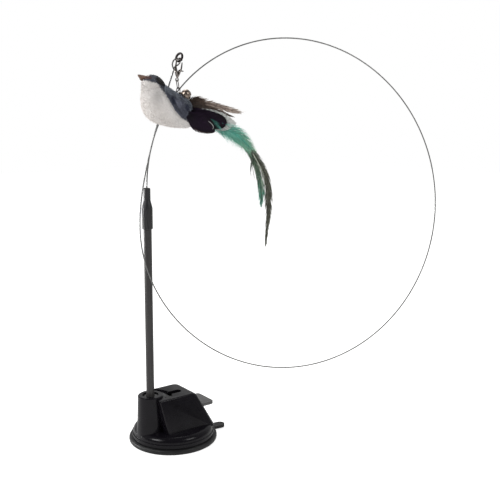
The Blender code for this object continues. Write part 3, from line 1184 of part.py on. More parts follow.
def main():
    """Builds the whole toy, base first and bird last."""
    clear_scene()
    rubber = material("soft rubber", (0.018, 0.018, 0.02), 0.6)
    black_plastic = material("black plastic", (0.022, 0.021, 0.024), 0.35)
    lever_plastic = material("lever plastic", (0.026, 0.025, 0.028), 0.32)
    rod_paint = material("rod lacquer", (0.03, 0.03, 0.032), 0.3)
    ferrule_plastic = material("ferrule plastic", (0.028, 0.028, 0.03), 0.4)
    plug_plastic = material("plug plastic", (0.024, 0.024, 0.026), 0.4)
    stem_steel = material("stem steel", (0.5, 0.5, 0.5), 0.35, 1.0)
    pin_steel = material("pin steel", (0.55, 0.55, 0.55), 0.3, 1.0)
    coil_steel = material("coil steel", (0.45, 0.45, 0.46), 0.35, 1.0)
    spring_steel = material("spring wire steel", (0.2, 0.2, 0.2), 0.35, 1.0)
    ring_steel = material("ring steel", (0.2, 0.18, 0.18), 0.25, 1.0)
    clasp_steel = material("clasp plating", (0.55, 0.52, 0.5), 0.2, 1.0)
    gate_steel = material("gate plating", (0.5, 0.48, 0.46), 0.22, 1.0)
    rivet_steel = material("rivet plating", (0.5, 0.48, 0.46), 0.25, 1.0)
    link_steel = material("link plating", (0.5, 0.47, 0.45), 0.22, 1.0)
    bail_steel = material("bail plating", (0.3, 0.27, 0.26), 0.25, 1.0)
    bell_metal = material("bell plating", (0.6, 0.53, 0.46), 0.18, 1.0)
    pellet_metal = material("pellet steel", (0.5, 0.5, 0.5), 0.3, 1.0)
    plush = material("white plush", (0.78, 0.76, 0.73), 0.95)
    head_plush = material("grey and white plush", (0.5, 0.5, 0.5), 0.95)
    wing_felt = material("slate felt", (0.12, 0.14, 0.17), 0.9)
    horn = material("brown beak", (0.2, 0.1, 0.07), 0.6)
    brown = material("brown feather", (0.1, 0.07, 0.055), 0.7)
    black = material("black feather", (0.012, 0.008, 0.014), 0.35)
    white = material("white feather", (0.75, 0.75, 0.72), 0.8)
    teal = material("teal down", (0.08, 0.38, 0.3), 0.8)
    green = material("green brown plume", (0.07, 0.09, 0.07), 0.6)

    build_disc(rubber)
    stem_joint = add_joint("stem_lift_axis", (0, 0, 0))
    build_stem(stem_joint, stem_steel, pin_steel)
    build_spring(coil_steel)
    build_housing(black_plastic)
    build_lever(add_joint("lever_turn_axis", (0, 0, PIN_HEIGHT), stem_joint), lever_plastic)

    rod_joint = Joint(add_joint("rod_turn_axis", (BOSS_CENTRE_X, 0, 0)).empty, np.zeros(3))
    rod_joint.empty.rotation_euler.z = TOY_HEADING
    build_rod(rod_joint, plug_plastic, rod_paint, ferrule_plastic)
    build_wire(rod_joint, spring_steel)
    ring_place = ring_pivot()[0]
    ring_joint = Joint(add_joint("ring_tilt_axis", ring_place + lure_shift(), rod_joint).empty, ring_place)
    build_split_ring(ring_joint, ring_steel)
    clasp_joint = add_joint("clasp_swing_axis", clasp_pivot(), ring_joint)
    gate_joint = add_joint("clasp_gate_axis", on_clasp([GATE_PIVOT_shares])[0], clasp_joint)
    build_clasp(clasp_joint, gate_joint, clasp_steel, gate_steel, rivet_steel)
    link_joint = add_joint("link_swing_axis", link_top(), clasp_joint)
    build_link(link_joint, link_steel)
    bird_joint = add_joint("bird_pitch_axis", link_bottom(), link_joint)
    rooms, wings = build_bird(bird_joint, plush, head_plush, horn, wing_felt, bail_steel)
    dressings = {
        "brown_feather_upper": brown,
        "brown_feather_lower": brown,
        "black_feather_near": black,
        "black_feather_far": black,
        "white_feather": white,
        "tail_marabou": teal,
        "tail_plume_long": green,
        "tail_plume_short": green,
    }
    build_feathers(bird_joint, rooms, dressings)
    bell_joint = add_joint("bell_swing_axis", bell_place()[2], bird_joint)
    build_bell(bell_joint, wings, bell_metal, pellet_metal)


main()
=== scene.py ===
"""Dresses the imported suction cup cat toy: a lever-locked base, a rod, a hoop of spring wire and a bird lure.

The row frame has its origin under the suction disc, with +Z up. The hoop and the lure are worked out in the
toy frame: its origin is on the rod's axis, +X runs the way the hoop leaves the rod and +Y away from the
camera. Lengths are written in millimetres and turned into metres when a mesh is made.
"""

import json
import logging
import math
from dataclasses import dataclass, field
from enum import Enum

import bmesh
import bpy
import numpy as np
from mathutils import Matrix, Vector

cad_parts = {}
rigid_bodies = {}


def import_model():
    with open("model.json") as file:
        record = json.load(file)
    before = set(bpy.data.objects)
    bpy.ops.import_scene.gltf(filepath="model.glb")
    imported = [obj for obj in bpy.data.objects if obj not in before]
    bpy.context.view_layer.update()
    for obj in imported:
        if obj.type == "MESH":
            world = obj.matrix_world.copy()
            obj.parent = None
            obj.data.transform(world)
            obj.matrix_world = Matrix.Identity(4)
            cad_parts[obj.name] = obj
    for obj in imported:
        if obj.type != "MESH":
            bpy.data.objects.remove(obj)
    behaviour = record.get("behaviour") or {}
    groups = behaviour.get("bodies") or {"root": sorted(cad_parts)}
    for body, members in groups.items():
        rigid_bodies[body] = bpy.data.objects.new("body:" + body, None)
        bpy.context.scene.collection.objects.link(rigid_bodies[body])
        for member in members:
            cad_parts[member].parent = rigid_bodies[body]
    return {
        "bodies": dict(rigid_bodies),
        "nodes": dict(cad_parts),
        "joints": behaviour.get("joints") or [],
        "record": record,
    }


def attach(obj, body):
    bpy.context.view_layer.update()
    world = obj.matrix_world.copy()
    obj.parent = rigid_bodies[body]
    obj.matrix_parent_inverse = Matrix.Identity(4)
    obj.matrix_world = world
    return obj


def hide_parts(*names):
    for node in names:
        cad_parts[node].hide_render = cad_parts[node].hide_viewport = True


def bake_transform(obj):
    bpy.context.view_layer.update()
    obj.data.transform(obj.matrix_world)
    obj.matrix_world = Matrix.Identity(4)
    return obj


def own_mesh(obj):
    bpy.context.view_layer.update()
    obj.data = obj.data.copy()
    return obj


log = logging.getLogger("cat_toy")

MM = 0.001
CURVE_STEPS = 24
FAR = 9.0
SLIM_TIP = 0.04
WHITE = (1.0, 1.0, 1.0, 1.0)
Array = np.ndarray
Colour = tuple[float, float, float]
Place = tuple[float, float, float]
Pair = tuple[float, float]
Stations = tuple[tuple[float, float, float, float], ...]
Trim = tuple[tuple[Place, ...], float, Colour]
Rng = np.random.Generator
Socket = bpy.types.NodeSocket
Material = bpy.types.Material
Piece = bpy.types.Object


# Frames and curves


@dataclass(frozen=True)
class ToyFrame:
    """The frame of the rod and all that it carries, turned about the rod's axis."""

    foot_mm: Place = (-20.4, 0.0, 0.0)
    heading_deg: float = -37.6

    def to_row(self, points: Array) -> Array:
        """Turns toy-frame millimetres into row-frame metres.

        Args:
            points: Places in the toy frame, in millimetres, with three numbers in the last axis.

        Returns:
            The same places in the row frame, in metres.
        """
        turn = math.radians(self.heading_deg)
        cos, sin = math.cos(turn), math.sin(turn)
        matrix = np.array([[cos, -sin, 0.0], [sin, cos, 0.0], [0.0, 0.0, 1.0]])
        return (np.asarray(points, float) @ matrix.T + np.array(self.foot_mm)) * MM


TOY = ToyFrame()


def unit(vectors: Array) -> Array:
    """The vectors at length one, along their last axis."""
    vectors = np.asarray(vectors, float)
    return vectors / np.linalg.norm(vectors, axis=-1, keepdims=True)


def curve_through(points: Array, steps: int) -> Array:
    """A Catmull-Rom curve: each stretch is a cubic whose slopes come from its neighbours.

    Args:
        points: The points it passes through.
        steps: How many steps it takes between two of them.

    Returns:
        Points along the curve, both ends included.
    """
    knots = np.asarray(points, float)
    knots = np.vstack([2 * knots[0] - knots[1], knots, 2 * knots[-1] - knots[-2]])
    before, start, end, after = knots[:-3], knots[1:-2], knots[2:-1], knots[3:]
    share = np.linspace(0, 1, steps, endpoint=False)[None, :, None]
    slope = (end - before)[:, None] * share
    square = (2 * before - 5 * start + 4 * end - after)[:, None] * share**2
    cube = (3 * start - before - 3 * end + after)[:, None] * share**3
    inner = start[:, None] + (slope + square + cube) / 2
    return np.vstack([inner.reshape(-1, knots.shape[1]), knots[-2:-1]])


def even_curve(points: Array, count: int) -> Array:
    """A smooth curve through the points, read off at equal distances along its length."""
    fine = curve_through(points, CURVE_STEPS)
    run = np.concatenate([[0.0], np.cumsum(np.linalg.norm(np.diff(fine, axis=0), axis=1))])
    wanted = np.linspace(0, run[-1], count)
    return np.column_stack([np.interp(wanted, run, fine[:, k]) for k in range(fine.shape[1])])


def mixed(first: Array, second: Array, share: Array) -> Array:
    """The first where the share is nought, the second where it is one, and a blend between."""
    return np.asarray(first) * (1 - share) + np.asarray(second) * share


def smooth_steps(low: float, high: float, values: Array) -> Array:
    """Nought below low, one above high and an S-curve between them."""
    share = np.clip((values - low) / (high - low), 0, 1)
    return share * share * (3 - 2 * share)


# Meshes from whole arrays


@dataclass
class Surface:
    """Points, faces and what is painted on the points, before it becomes a mesh.

    Each face is a row of four point numbers, and a triangle's last one is -1.
    """

    points: Array
    faces: Array
    tint: Array | None = None

    def joined(self, other: "Surface") -> "Surface":
        """Both surfaces as one, with the other's faces counted on."""
        moved = np.where(other.faces >= 0, other.faces + len(self.points), -1)
        faces = np.vstack([self.faces, moved])
        points = np.vstack([self.points, other.points])
        both = self.tint is not None and other.tint is not None
        return Surface(points, faces, np.vstack([self.tint, other.tint]) if both else None)

    def to_piece(self, name: str, finish: Material, sharp_deg: float = 40.0) -> Piece:
        """Makes the mesh object, with its place in its mesh.

        Args:
            name: The piece's name.
            finish: Its material.
            sharp_deg: The angle past which an edge stays sharp.

        Returns:
            The new object, which rides on nothing yet.
        """
        mesh = bpy.data.meshes.new(name)
        mesh.vertices.add(len(self.points))
        mesh.vertices.foreach_set("co", np.ascontiguousarray(self.points, np.float32).ravel())
        used = self.faces >= 0
        sizes, corners = used.sum(axis=1), self.faces[used]
        mesh.loops.add(len(corners))
        mesh.loops.foreach_set("vertex_index", corners.astype(np.int32))
        mesh.polygons.add(len(sizes))
        starts = np.concatenate([[0], np.cumsum(sizes)[:-1]])
        mesh.polygons.foreach_set("loop_start", starts.astype(np.int32))
        mesh.update(calc_edges=True)
        mesh.validate()
        if self.tint is not None:
            layer = mesh.attributes.new("tint", "FLOAT_COLOR", "POINT")
            rgba = np.column_stack([self.tint, np.ones(len(self.tint))])
            layer.data.foreach_set("color", rgba.astype(np.float32).ravel())
        mesh.shade_smooth()
        mesh.set_sharp_from_angle(angle=math.radians(sharp_deg))
        mesh.materials.append(finish)
        piece = bpy.data.objects.new(name, mesh)
        bpy.context.scene.collection.objects.link(piece)
        return piece

    def toy_piece(self, name: str, finish: Material, sharp_deg: float = 40.0) -> Piece:
        """Makes the mesh object of points that are in the toy frame, in millimetres."""
        self.points = TOY.to_row(self.points)
        return self.to_piece(name, finish, sharp_deg)


def full_turn(count: int) -> Array:
    """So many angles evenly round one turn, in radians, without the last that meets the first."""
    return np.arange(count) * 2 * math.pi / count


def grid_faces(rows: int, columns: int, row_loop: bool = False, column_loop: bool = True) -> Array:
    """Quads between neighbouring rows and columns of a grid of points.

    Args:
        rows: How many rows of points there are.
        columns: How many points each row has.
        row_loop: Whether the last row joins the first.
        column_loop: Whether the last column joins the first.

    Returns:
        One row of four point numbers for each quad.
    """
    row = np.arange(rows if row_loop else rows - 1)[:, None]
    column = np.arange(columns if column_loop else columns - 1)[None, :]
    below = (row + 1) % rows * columns
    beside = (column + 1) % columns
    here = row * columns
    quads = np.stack([here + column, here + beside, below + beside, below + column], axis=-1)
    return quads.reshape(-1, 4)


def fan_faces(ring: Array, centre: int, outward: bool) -> Array:
    """Triangles from a ring of point numbers to one centre point, padded to four columns."""
    onward = np.roll(ring, -1)
    pair = (ring, onward) if outward else (onward, ring)
    middle = np.full(len(ring), centre)
    return np.column_stack([pair[0], pair[1], middle, np.full(len(ring), -1)])


def capped(rings: Array, poles: Array, flipped: bool = False) -> Surface:
    """A closed skin over rows of rings, with a fan from each end's ring to its pole.

    Args:
        rings: The points, one row for each ring.
        poles: The first end's pole and the last one's.
        flipped: Whether the rings run so that their faces have to be turned round.

    Returns:
        The skin, with the two poles as its last points.
    """
    count, sides = rings.shape[:2]
    faces = grid_faces(count, sides)
    start = fan_faces(np.arange(sides), count * sides, flipped)
    end = fan_faces(np.arange(sides) + (count - 1) * sides, count * sides + 1, not flipped)
    if flipped:
        faces = faces[:, ::-1]
    return Surface(np.vstack([rings.reshape(-1, 3), poles]), np.vstack([faces, start, end]))


def ball_rings(slopes: Array, sides: int) -> Array:
    """Rings of a unit ball: sin of the slope times cos and sin of the turn, and cos of the slope."""
    turns = full_turn(sides)
    high = np.cos(slopes) + 0 * turns
    return np.stack([np.sin(slopes) * np.cos(turns), np.sin(slopes) * np.sin(turns), high], axis=-1)


def tube(
    path: Array,
    radius: Array | float,
    sides: int = 12,
    closed: bool = False,
    facing: Array = (0.0, 1.0, 0.0),
    flat: float = 1.0,
) -> Surface:
    """A tube: at each point of the path, a ring of cos and sin of one turn across two normals.

    The first normal is the facing direction with its part along the path taken off, and the second is
    the tangent crossed with it. The ring is radius wide on the first and radius times flat on the second.

    Args:
        path: The centre line's points.
        radius: One radius, or one for each point.
        sides: How many points each ring has.
        closed: Whether the path's end joins its start.
        facing: A direction that the path never runs along.
        flat: How far the ring is flattened on its second normal.

    Returns:
        The tube with both ends closed, in the path's own units.
    """
    path = np.asarray(path, float)
    if closed:
        tangents = np.roll(path, -1, axis=0) - np.roll(path, 1, axis=0)
    else:
        tangents = np.gradient(path, axis=0)
    tangents = unit(tangents)
    first = np.broadcast_to(np.asarray(facing, float), path.shape)
    first = unit(first - tangents * np.sum(first * tangents, axis=1, keepdims=True))
    second = np.cross(tangents, first)
    turns = full_turn(sides)
    size = np.broadcast_to(np.asarray(radius, float), len(path))[:, None, None]
    ring = first[:, None] * np.cos(turns)[None, :, None]
    rings = path[:, None] + (ring + second[:, None] * np.sin(turns)[None, :, None] * flat) * size
    if closed:
        return Surface(rings.reshape(-1, 3), grid_faces(len(path), sides, row_loop=True))
    return capped(rings, path[[0, -1]])


def revolved(profile: Array, sides: int) -> Surface:
    """A closed outline of (radius, height) pairs turned about Z: x and y are radius times cos and sin."""
    profile = np.asarray(profile, float)
    turns = full_turn(sides)
    x = profile[:, :1] * np.cos(turns)
    y = profile[:, :1] * np.sin(turns)
    z = np.repeat(profile[:, 1:], sides, axis=1)
    points = np.stack([x, y, z], axis=-1).reshape(-1, 3)
    return Surface(points, grid_faces(len(profile), sides, row_loop=True)[:, ::-1])


def globe(radii: Array, centre: Array, rings: int, sides: int) -> Surface:
    """An ellipsoid, whose poles are closed by fans."""
    slopes = np.linspace(0, math.pi, rings + 2)[1:-1, None]
    ball = capped(ball_rings(slopes, sides), np.array([[0.0, 0.0, 1.0], [0.0, 0.0, -1.0]]))
    ball.points = ball.points * np.asarray(radii) + np.asarray(centre)
    return ball


@dataclass
class Fibres:
    """Many thin tapered spikes at once: pile, barbs or down.

    Each spike's centre line is root + length * (way * t + bend * t^2), for t from 0 to 1. Its section is a
    low triangle, half_width wide on the side direction and thick * half_width high across it.
    """

    roots: Array
    ways: Array
    bends: Array
    sides: Array
    lengths: Array
    half_widths: Array
    thick: float
    rings: int
    root_tints: Array
    tip_tints: Array

    def surface(self) -> Surface:
        """All the spikes as one surface."""
        share = np.linspace(0, 1, self.rings + 1)
        t = share[None, :, None]
        length = self.lengths[:, None, None]
        centres = self.roots[:, None] + length * (self.ways[:, None] * t + self.bends[:, None] * t**2)
        girths = self.half_widths[:, None] * np.maximum(1 - share[None] ** 2, SLIM_TIP)
        return strands(centres, self.sides, girths, self.thick, self.root_tints, self.tip_tints)


def strands(
    centres: Array, sides: Array, girths: Array, thick: float, root_tints: Array, tip_tints: Array
) -> Surface:
    """Closed triangular tubes along many centre lines at once.

    Each ring is the centre less and plus the side direction times the girth, and a third point that stands
    off the other way, square to the line, by thick times the girth.

    Args:
        centres: One row of centre points for each strand.
        sides: The way that each strand's width lies.
        girths: The half width at each centre point.
        thick: The height of the section as a share of its half width.
        root_tints: Each strand's colour at its root.
        tip_tints: Each strand's colour at its tip.

    Returns:
        All the strands as one surface.
    """
    count, rows = centres.shape[:2]
    slope = unit(np.gradient(centres, axis=1))
    side = unit(sides[:, None] - slope * np.sum(sides[:, None] * slope, axis=-1, keepdims=True))
    over = np.cross(slope, side)
    wide, high = side * girths[..., None], over * girths[..., None] * thick
    points = np.stack([centres - wide, centres + wide, centres + high], axis=2)
    one = grid_faces(rows, 3)
    caps = np.array([[2, 1, 0, -1], [rows * 3 - 3, rows * 3 - 2, rows * 3 - 1, -1]])
    one = np.vstack([one, caps])
    offset = (np.arange(count) * rows * 3)[:, None, None]
    faces = np.where(one[None] >= 0, one[None] + offset, -1).reshape(-1, 4)
    blend = mixed(root_tints[:, None], tip_tints[:, None], np.linspace(0, 1, rows)[None, :, None])
    tint = np.repeat(blend[:, :, None], 3, axis=2).reshape(-1, 3)
    return Surface(points.reshape(-1, 3), faces, tint=tint)


# Finishes


class Graph:
    """A material's node tree, with short calls for the nodes used here."""

    def __init__(self, name: str) -> None:
        """Starts an empty material whose Principled shader is wired to the output."""
        self.material = bpy.data.materials.new(name)
        self.material.use_nodes = True
        self.tree = self.material.node_tree
        self.shader = self.tree.nodes["Principled BSDF"]

    def node(self, kind: str, **settings: object) -> bpy.types.Node:
        """Adds a node and sets its properties and its inputs by name.

        Args:
            kind: The node's type, without its ShaderNode prefix.
            **settings: Property names, or input names with underscores for spaces.

        Returns:
            The new node.
        """
        made = self.tree.nodes.new(f"ShaderNode{kind}")
        for name, value in settings.items():
            socket = made.inputs.get(name.replace("_", " "))
            if socket is not None:
                socket.default_value = value
            else:
                setattr(made, name, value)
        return made

    def link(self, source: Socket, target: Socket) -> None:
        """Wires one socket to another."""
        self.tree.links.new(source, target)

    def feed(self, name: str, source: Socket | float | tuple[float, ...]) -> None:
        """Wires the shader's input of that name to a socket, or sets it to a plain value."""
        if isinstance(source, Socket):
            self.link(source, self.shader.inputs[name])
        else:
            self.shader.inputs[name].default_value = source

    def place(self) -> Socket:
        """The surface's own Object coordinates, in metres."""
        return self.node("TexCoord").outputs["Object"]

    def noise(self, scale: float, detail: float = 3.0, stretch: Colour = (1.0, 1.0, 1.0)) -> Socket:
        """A noise field's value, at so many cells per metre, drawn out along the axes by the stretch."""
        mapping = self.node("Mapping", Scale=stretch)
        self.link(self.place(), mapping.inputs["Vector"])
        made = self.node("TexNoise", Scale=scale, Detail=detail)
        self.link(mapping.outputs["Vector"], made.inputs["Vector"])
        return made.outputs["Fac"]

    def ramp(self, source: Socket, stops: list[tuple[float, Colour]]) -> Socket:
        """A colour ramp with these stops, read at the source."""
        made = self.node("ValToRGB")
        elements = made.color_ramp.elements
        for number, (place, colour) in enumerate(stops):
            stop = elements[number] if number < 2 else elements.new(place)
            stop.position = place
            stop.color = (*colour, 1.0)
        self.link(source, made.inputs["Fac"])
        return made.outputs["Color"]

    def between(self, source: Socket, low: float, high: float) -> Socket:
        """The source's 0.3 to 0.7 spread over the range from low to high."""
        made = self.node("MapRange", From_Min=0.3, From_Max=0.7, To_Min=low, To_Max=high)
        self.link(source, made.inputs["Value"])
        return made.outputs["Result"]

    def relief(
        self, source: Socket, depth_mm: float, below: Socket | None = None
    ) -> Socket:
        """A bump of that depth in millimetres, over another bump where one is given."""
        made = self.node("Bump", Strength=1.0, Distance=depth_mm * MM)
        self.link(source, made.inputs["Height"])
        if below is not None:
            self.link(below, made.inputs["Normal"])
        return made.outputs["Normal"]


@dataclass(frozen=True)
class MouldedPlastic:
    """Dark injection-moulded plastic: faint flow mottling, a fine spark-eroded grain and dull patches."""

    name: str
    dark: Colour
    light: Colour
    roughness: Pair = (0.3, 0.42)
    grain_mm: float = 0.012
    specular: float = 0.5

    def material(self) -> Material:
        """The finish as a Blender material."""
        graph = Graph(self.name)
        mottle = graph.noise(90.0, 5.0)
        graph.feed("Base Color", graph.ramp(mottle, [(0.35, self.dark), (0.7, self.light)]))
        graph.feed("Roughness", graph.between(graph.noise(220.0, 4.0), *self.roughness))
        coarse = graph.relief(graph.noise(700.0, 2.0), self.grain_mm)
        graph.feed("Normal", graph.relief(graph.noise(3200.0, 2.0), self.grain_mm / 2, coarse))
        graph.feed("Specular IOR Level", self.specular)
        return graph.material


@dataclass(frozen=True)
class SoftRubber:
    """Dull soft vinyl with a dusty bloom and faint radial moulding marks."""

    name: str
    dark: Colour
    bloom: Colour

    def material(self) -> Material:
        """The finish as a Blender material."""
        graph = Graph(self.name)
        dust = graph.noise(60.0, 6.0)
        graph.feed("Base Color", graph.ramp(dust, [(0.4, self.dark), (0.8, self.bloom)]))
        graph.feed("Roughness", graph.between(graph.noise(300.0, 3.0), 0.42, 0.6))
        graph.feed("Normal", graph.relief(graph.noise(1500.0, 3.0), 0.015))
        graph.feed("Specular IOR Level", 0.42)
        return graph.material


@dataclass(frozen=True)
class Lacquer:
    """Black lacquer over a drawn tube: long faint draw lines and a slightly uneven gloss."""

    name: str
    dark: Colour
    light: Colour
    roughness: Pair = (0.24, 0.36)

    def material(self) -> Material:
        """The finish as a Blender material."""
        graph = Graph(self.name)
        lines = graph.noise(900.0, 3.0, (1.0, 1.0, 0.02))
        graph.feed("Base Color", graph.ramp(lines, [(0.35, self.dark), (0.75, self.light)]))
        graph.feed("Roughness", graph.between(graph.noise(160.0, 4.0), *self.roughness))
        graph.feed("Normal", graph.relief(lines, 0.01))
        graph.feed("Specular IOR Level", 0.3)
        return graph.material


class Plating(Enum):
    """The plated metals on this toy, each with its dark and light tone and its roughness."""

    DARK_NICKEL = ((0.03, 0.025, 0.025), (0.07, 0.06, 0.06), (0.34, 0.48))
    BRIGHT_NICKEL = ((0.17, 0.15, 0.14), (0.32, 0.29, 0.275), (0.14, 0.26))
    WARM_NICKEL = ((0.24, 0.19, 0.16), (0.44, 0.36, 0.3), (0.24, 0.38))
    DRAWN_STEEL = ((0.14, 0.14, 0.14), (0.27, 0.27, 0.265), (0.3, 0.42))
    PLAIN_STEEL = ((0.4, 0.4, 0.4), (0.58, 0.58, 0.58), (0.25, 0.38))


@dataclass(frozen=True)
class Metal:
    """Plated or drawn metal: cloudy tone, fine scratches and small pits."""

    name: str
    plating: Plating
    scratch_mm: float = 0.004

    def material(self) -> Material:
        """The finish as a Blender material."""
        graph = Graph(self.name)
        dark, light, gloss = self.plating.value
        graph.feed("Base Color", graph.ramp(graph.noise(900.0, 4.0), [(0.3, dark), (0.7, light)]))
        graph.feed("Roughness", graph.between(graph.noise(2400.0, 3.0), *gloss))
        graph.feed("Normal", graph.relief(graph.noise(5200.0, 2.0), self.scratch_mm))
        graph.feed("Metallic", 1.0)
        return graph.material


@dataclass(frozen=True)
class Painted:
    """A surface whose colour is painted on its points, varied by noise: pile, felt, barbs and horn."""

    name: str
    roughness: float
    sheen: float = 0.0
    sheen_tint: Colour = (1.0, 1.0, 1.0)
    vary: float = 0.15
    grain: float = 1400.0
    relief_mm: float = 0.02
    specular: float = 0.3

    def material(self) -> Material:
        """The finish as a Blender material."""
        graph = Graph(self.name)
        paint = graph.node("Attribute", attribute_name="tint")
        tone = graph.between(graph.noise(self.grain, 3.0), 1.0 - self.vary, 1.0 + self.vary)
        varied = graph.node("VectorMath", operation="SCALE")
        graph.link(paint.outputs["Color"], varied.inputs[0])
        graph.link(tone, varied.inputs["Scale"])
        graph.feed("Base Color", varied.outputs["Vector"])
        graph.feed("Normal", graph.relief(graph.noise(self.grain * 2, 2.0), self.relief_mm))
        graph.feed("Roughness", self.roughness)
        graph.feed("Sheen Weight", self.sheen)
        graph.feed("Sheen Tint", (*self.sheen_tint, 1.0))
        graph.feed("Specular IOR Level", self.specular)
        return graph.material


# The base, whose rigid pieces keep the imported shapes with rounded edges


@dataclass
class Base:
    """The suction disc, the housing with its lever and the mechanism inside."""

    edge_mm: float = 0.35
    disc_edge_mm: float = 0.5
    plug_edge_mm: float = 0.25
    steel_edge_mm: float = 0.2
    coil_edge_mm: float = 0.02
    merge_mm: float = 0.002
    flat_deg: float = 1.0
    sharp_deg: float = 28.0
    plastic: MouldedPlastic = MouldedPlastic(
        "housing plastic", (0.0036, 0.003, 0.0046), (0.006, 0.0052, 0.0074), (0.18, 0.28), specular=0.2
    )
    lever_plastic: MouldedPlastic = MouldedPlastic(
        "lever plastic", (0.075, 0.073, 0.073), (0.105, 0.102, 0.102), (0.3, 0.42), specular=0.5
    )
    plug_plastic: MouldedPlastic = MouldedPlastic(
        "plug plastic", (0.007, 0.007, 0.0075), (0.012, 0.012, 0.0125), (0.16, 0.26), specular=0.3
    )
    rubber: SoftRubber = SoftRubber("disc rubber", (0.004, 0.004, 0.0048), (0.013, 0.013, 0.0138))
    steel: Metal = Metal("mechanism steel", Plating.PLAIN_STEEL)

    def polished(
        self, node: str, body: str, finish: Material, edge_mm: float
    ) -> Piece:
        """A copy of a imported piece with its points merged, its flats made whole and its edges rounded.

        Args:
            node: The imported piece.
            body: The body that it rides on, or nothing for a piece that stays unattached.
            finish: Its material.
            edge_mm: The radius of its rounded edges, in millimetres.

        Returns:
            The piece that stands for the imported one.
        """
        packed = bpy.data.objects[node]
        mesh = packed.data.copy()
        mesh.name = f"{node}_dressed"
        shape = bmesh.new()
        shape.from_mesh(mesh)
        bmesh.ops.remove_doubles(shape, verts=shape.verts, dist=self.merge_mm * MM)
        flat, points, edges = math.radians(self.flat_deg), shape.verts, shape.edges
        bmesh.ops.dissolve_limit(shape, angle_limit=flat, verts=points, edges=edges, delimit={"NORMAL"})
        shape.to_mesh(mesh)
        shape.free()
        mesh.materials.clear()
        mesh.materials.append(finish)
        mesh.shade_smooth()
        mesh.set_sharp_from_angle(angle=math.radians(self.sharp_deg))
        piece = bpy.data.objects.new(f"{node}_dressed", mesh)
        bpy.context.scene.collection.objects.link(piece)
        rounding = piece.modifiers.new("rounded edges", "BEVEL")
        rounding.width = edge_mm * MM
        rounding.segments = 3
        rounding.limit_method = "ANGLE"
        rounding.angle_limit = math.radians(self.sharp_deg)
        rounding.use_clamp_overlap = True
        rounding.harden_normals = True
        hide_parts(node)
        if body:
            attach(piece, body)
        return piece

    def build(self) -> None:
        """Dresses every piece of the base."""
        steel = self.steel.material()
        self.polished("housing", "base", self.plastic.material(), self.edge_mm)
        self.polished("lever", "lever", self.lever_plastic.material(), self.edge_mm)
        disc = self.polished("suction_disc", "", self.rubber.material(), self.disc_edge_mm)
        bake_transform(disc)
        self.polished("rod_plug", "mast", self.plug_plastic.material(), self.plug_edge_mm)
        self.polished("pull_stem", "stem", steel, self.steel_edge_mm)
        self.polished("lever_pin", "stem", steel, self.steel_edge_mm)
        spring = self.polished("return_spring", "base", steel, self.coil_edge_mm)
        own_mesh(spring)
        log.info("base dressed")


# The rod, the ferrule and the hoop


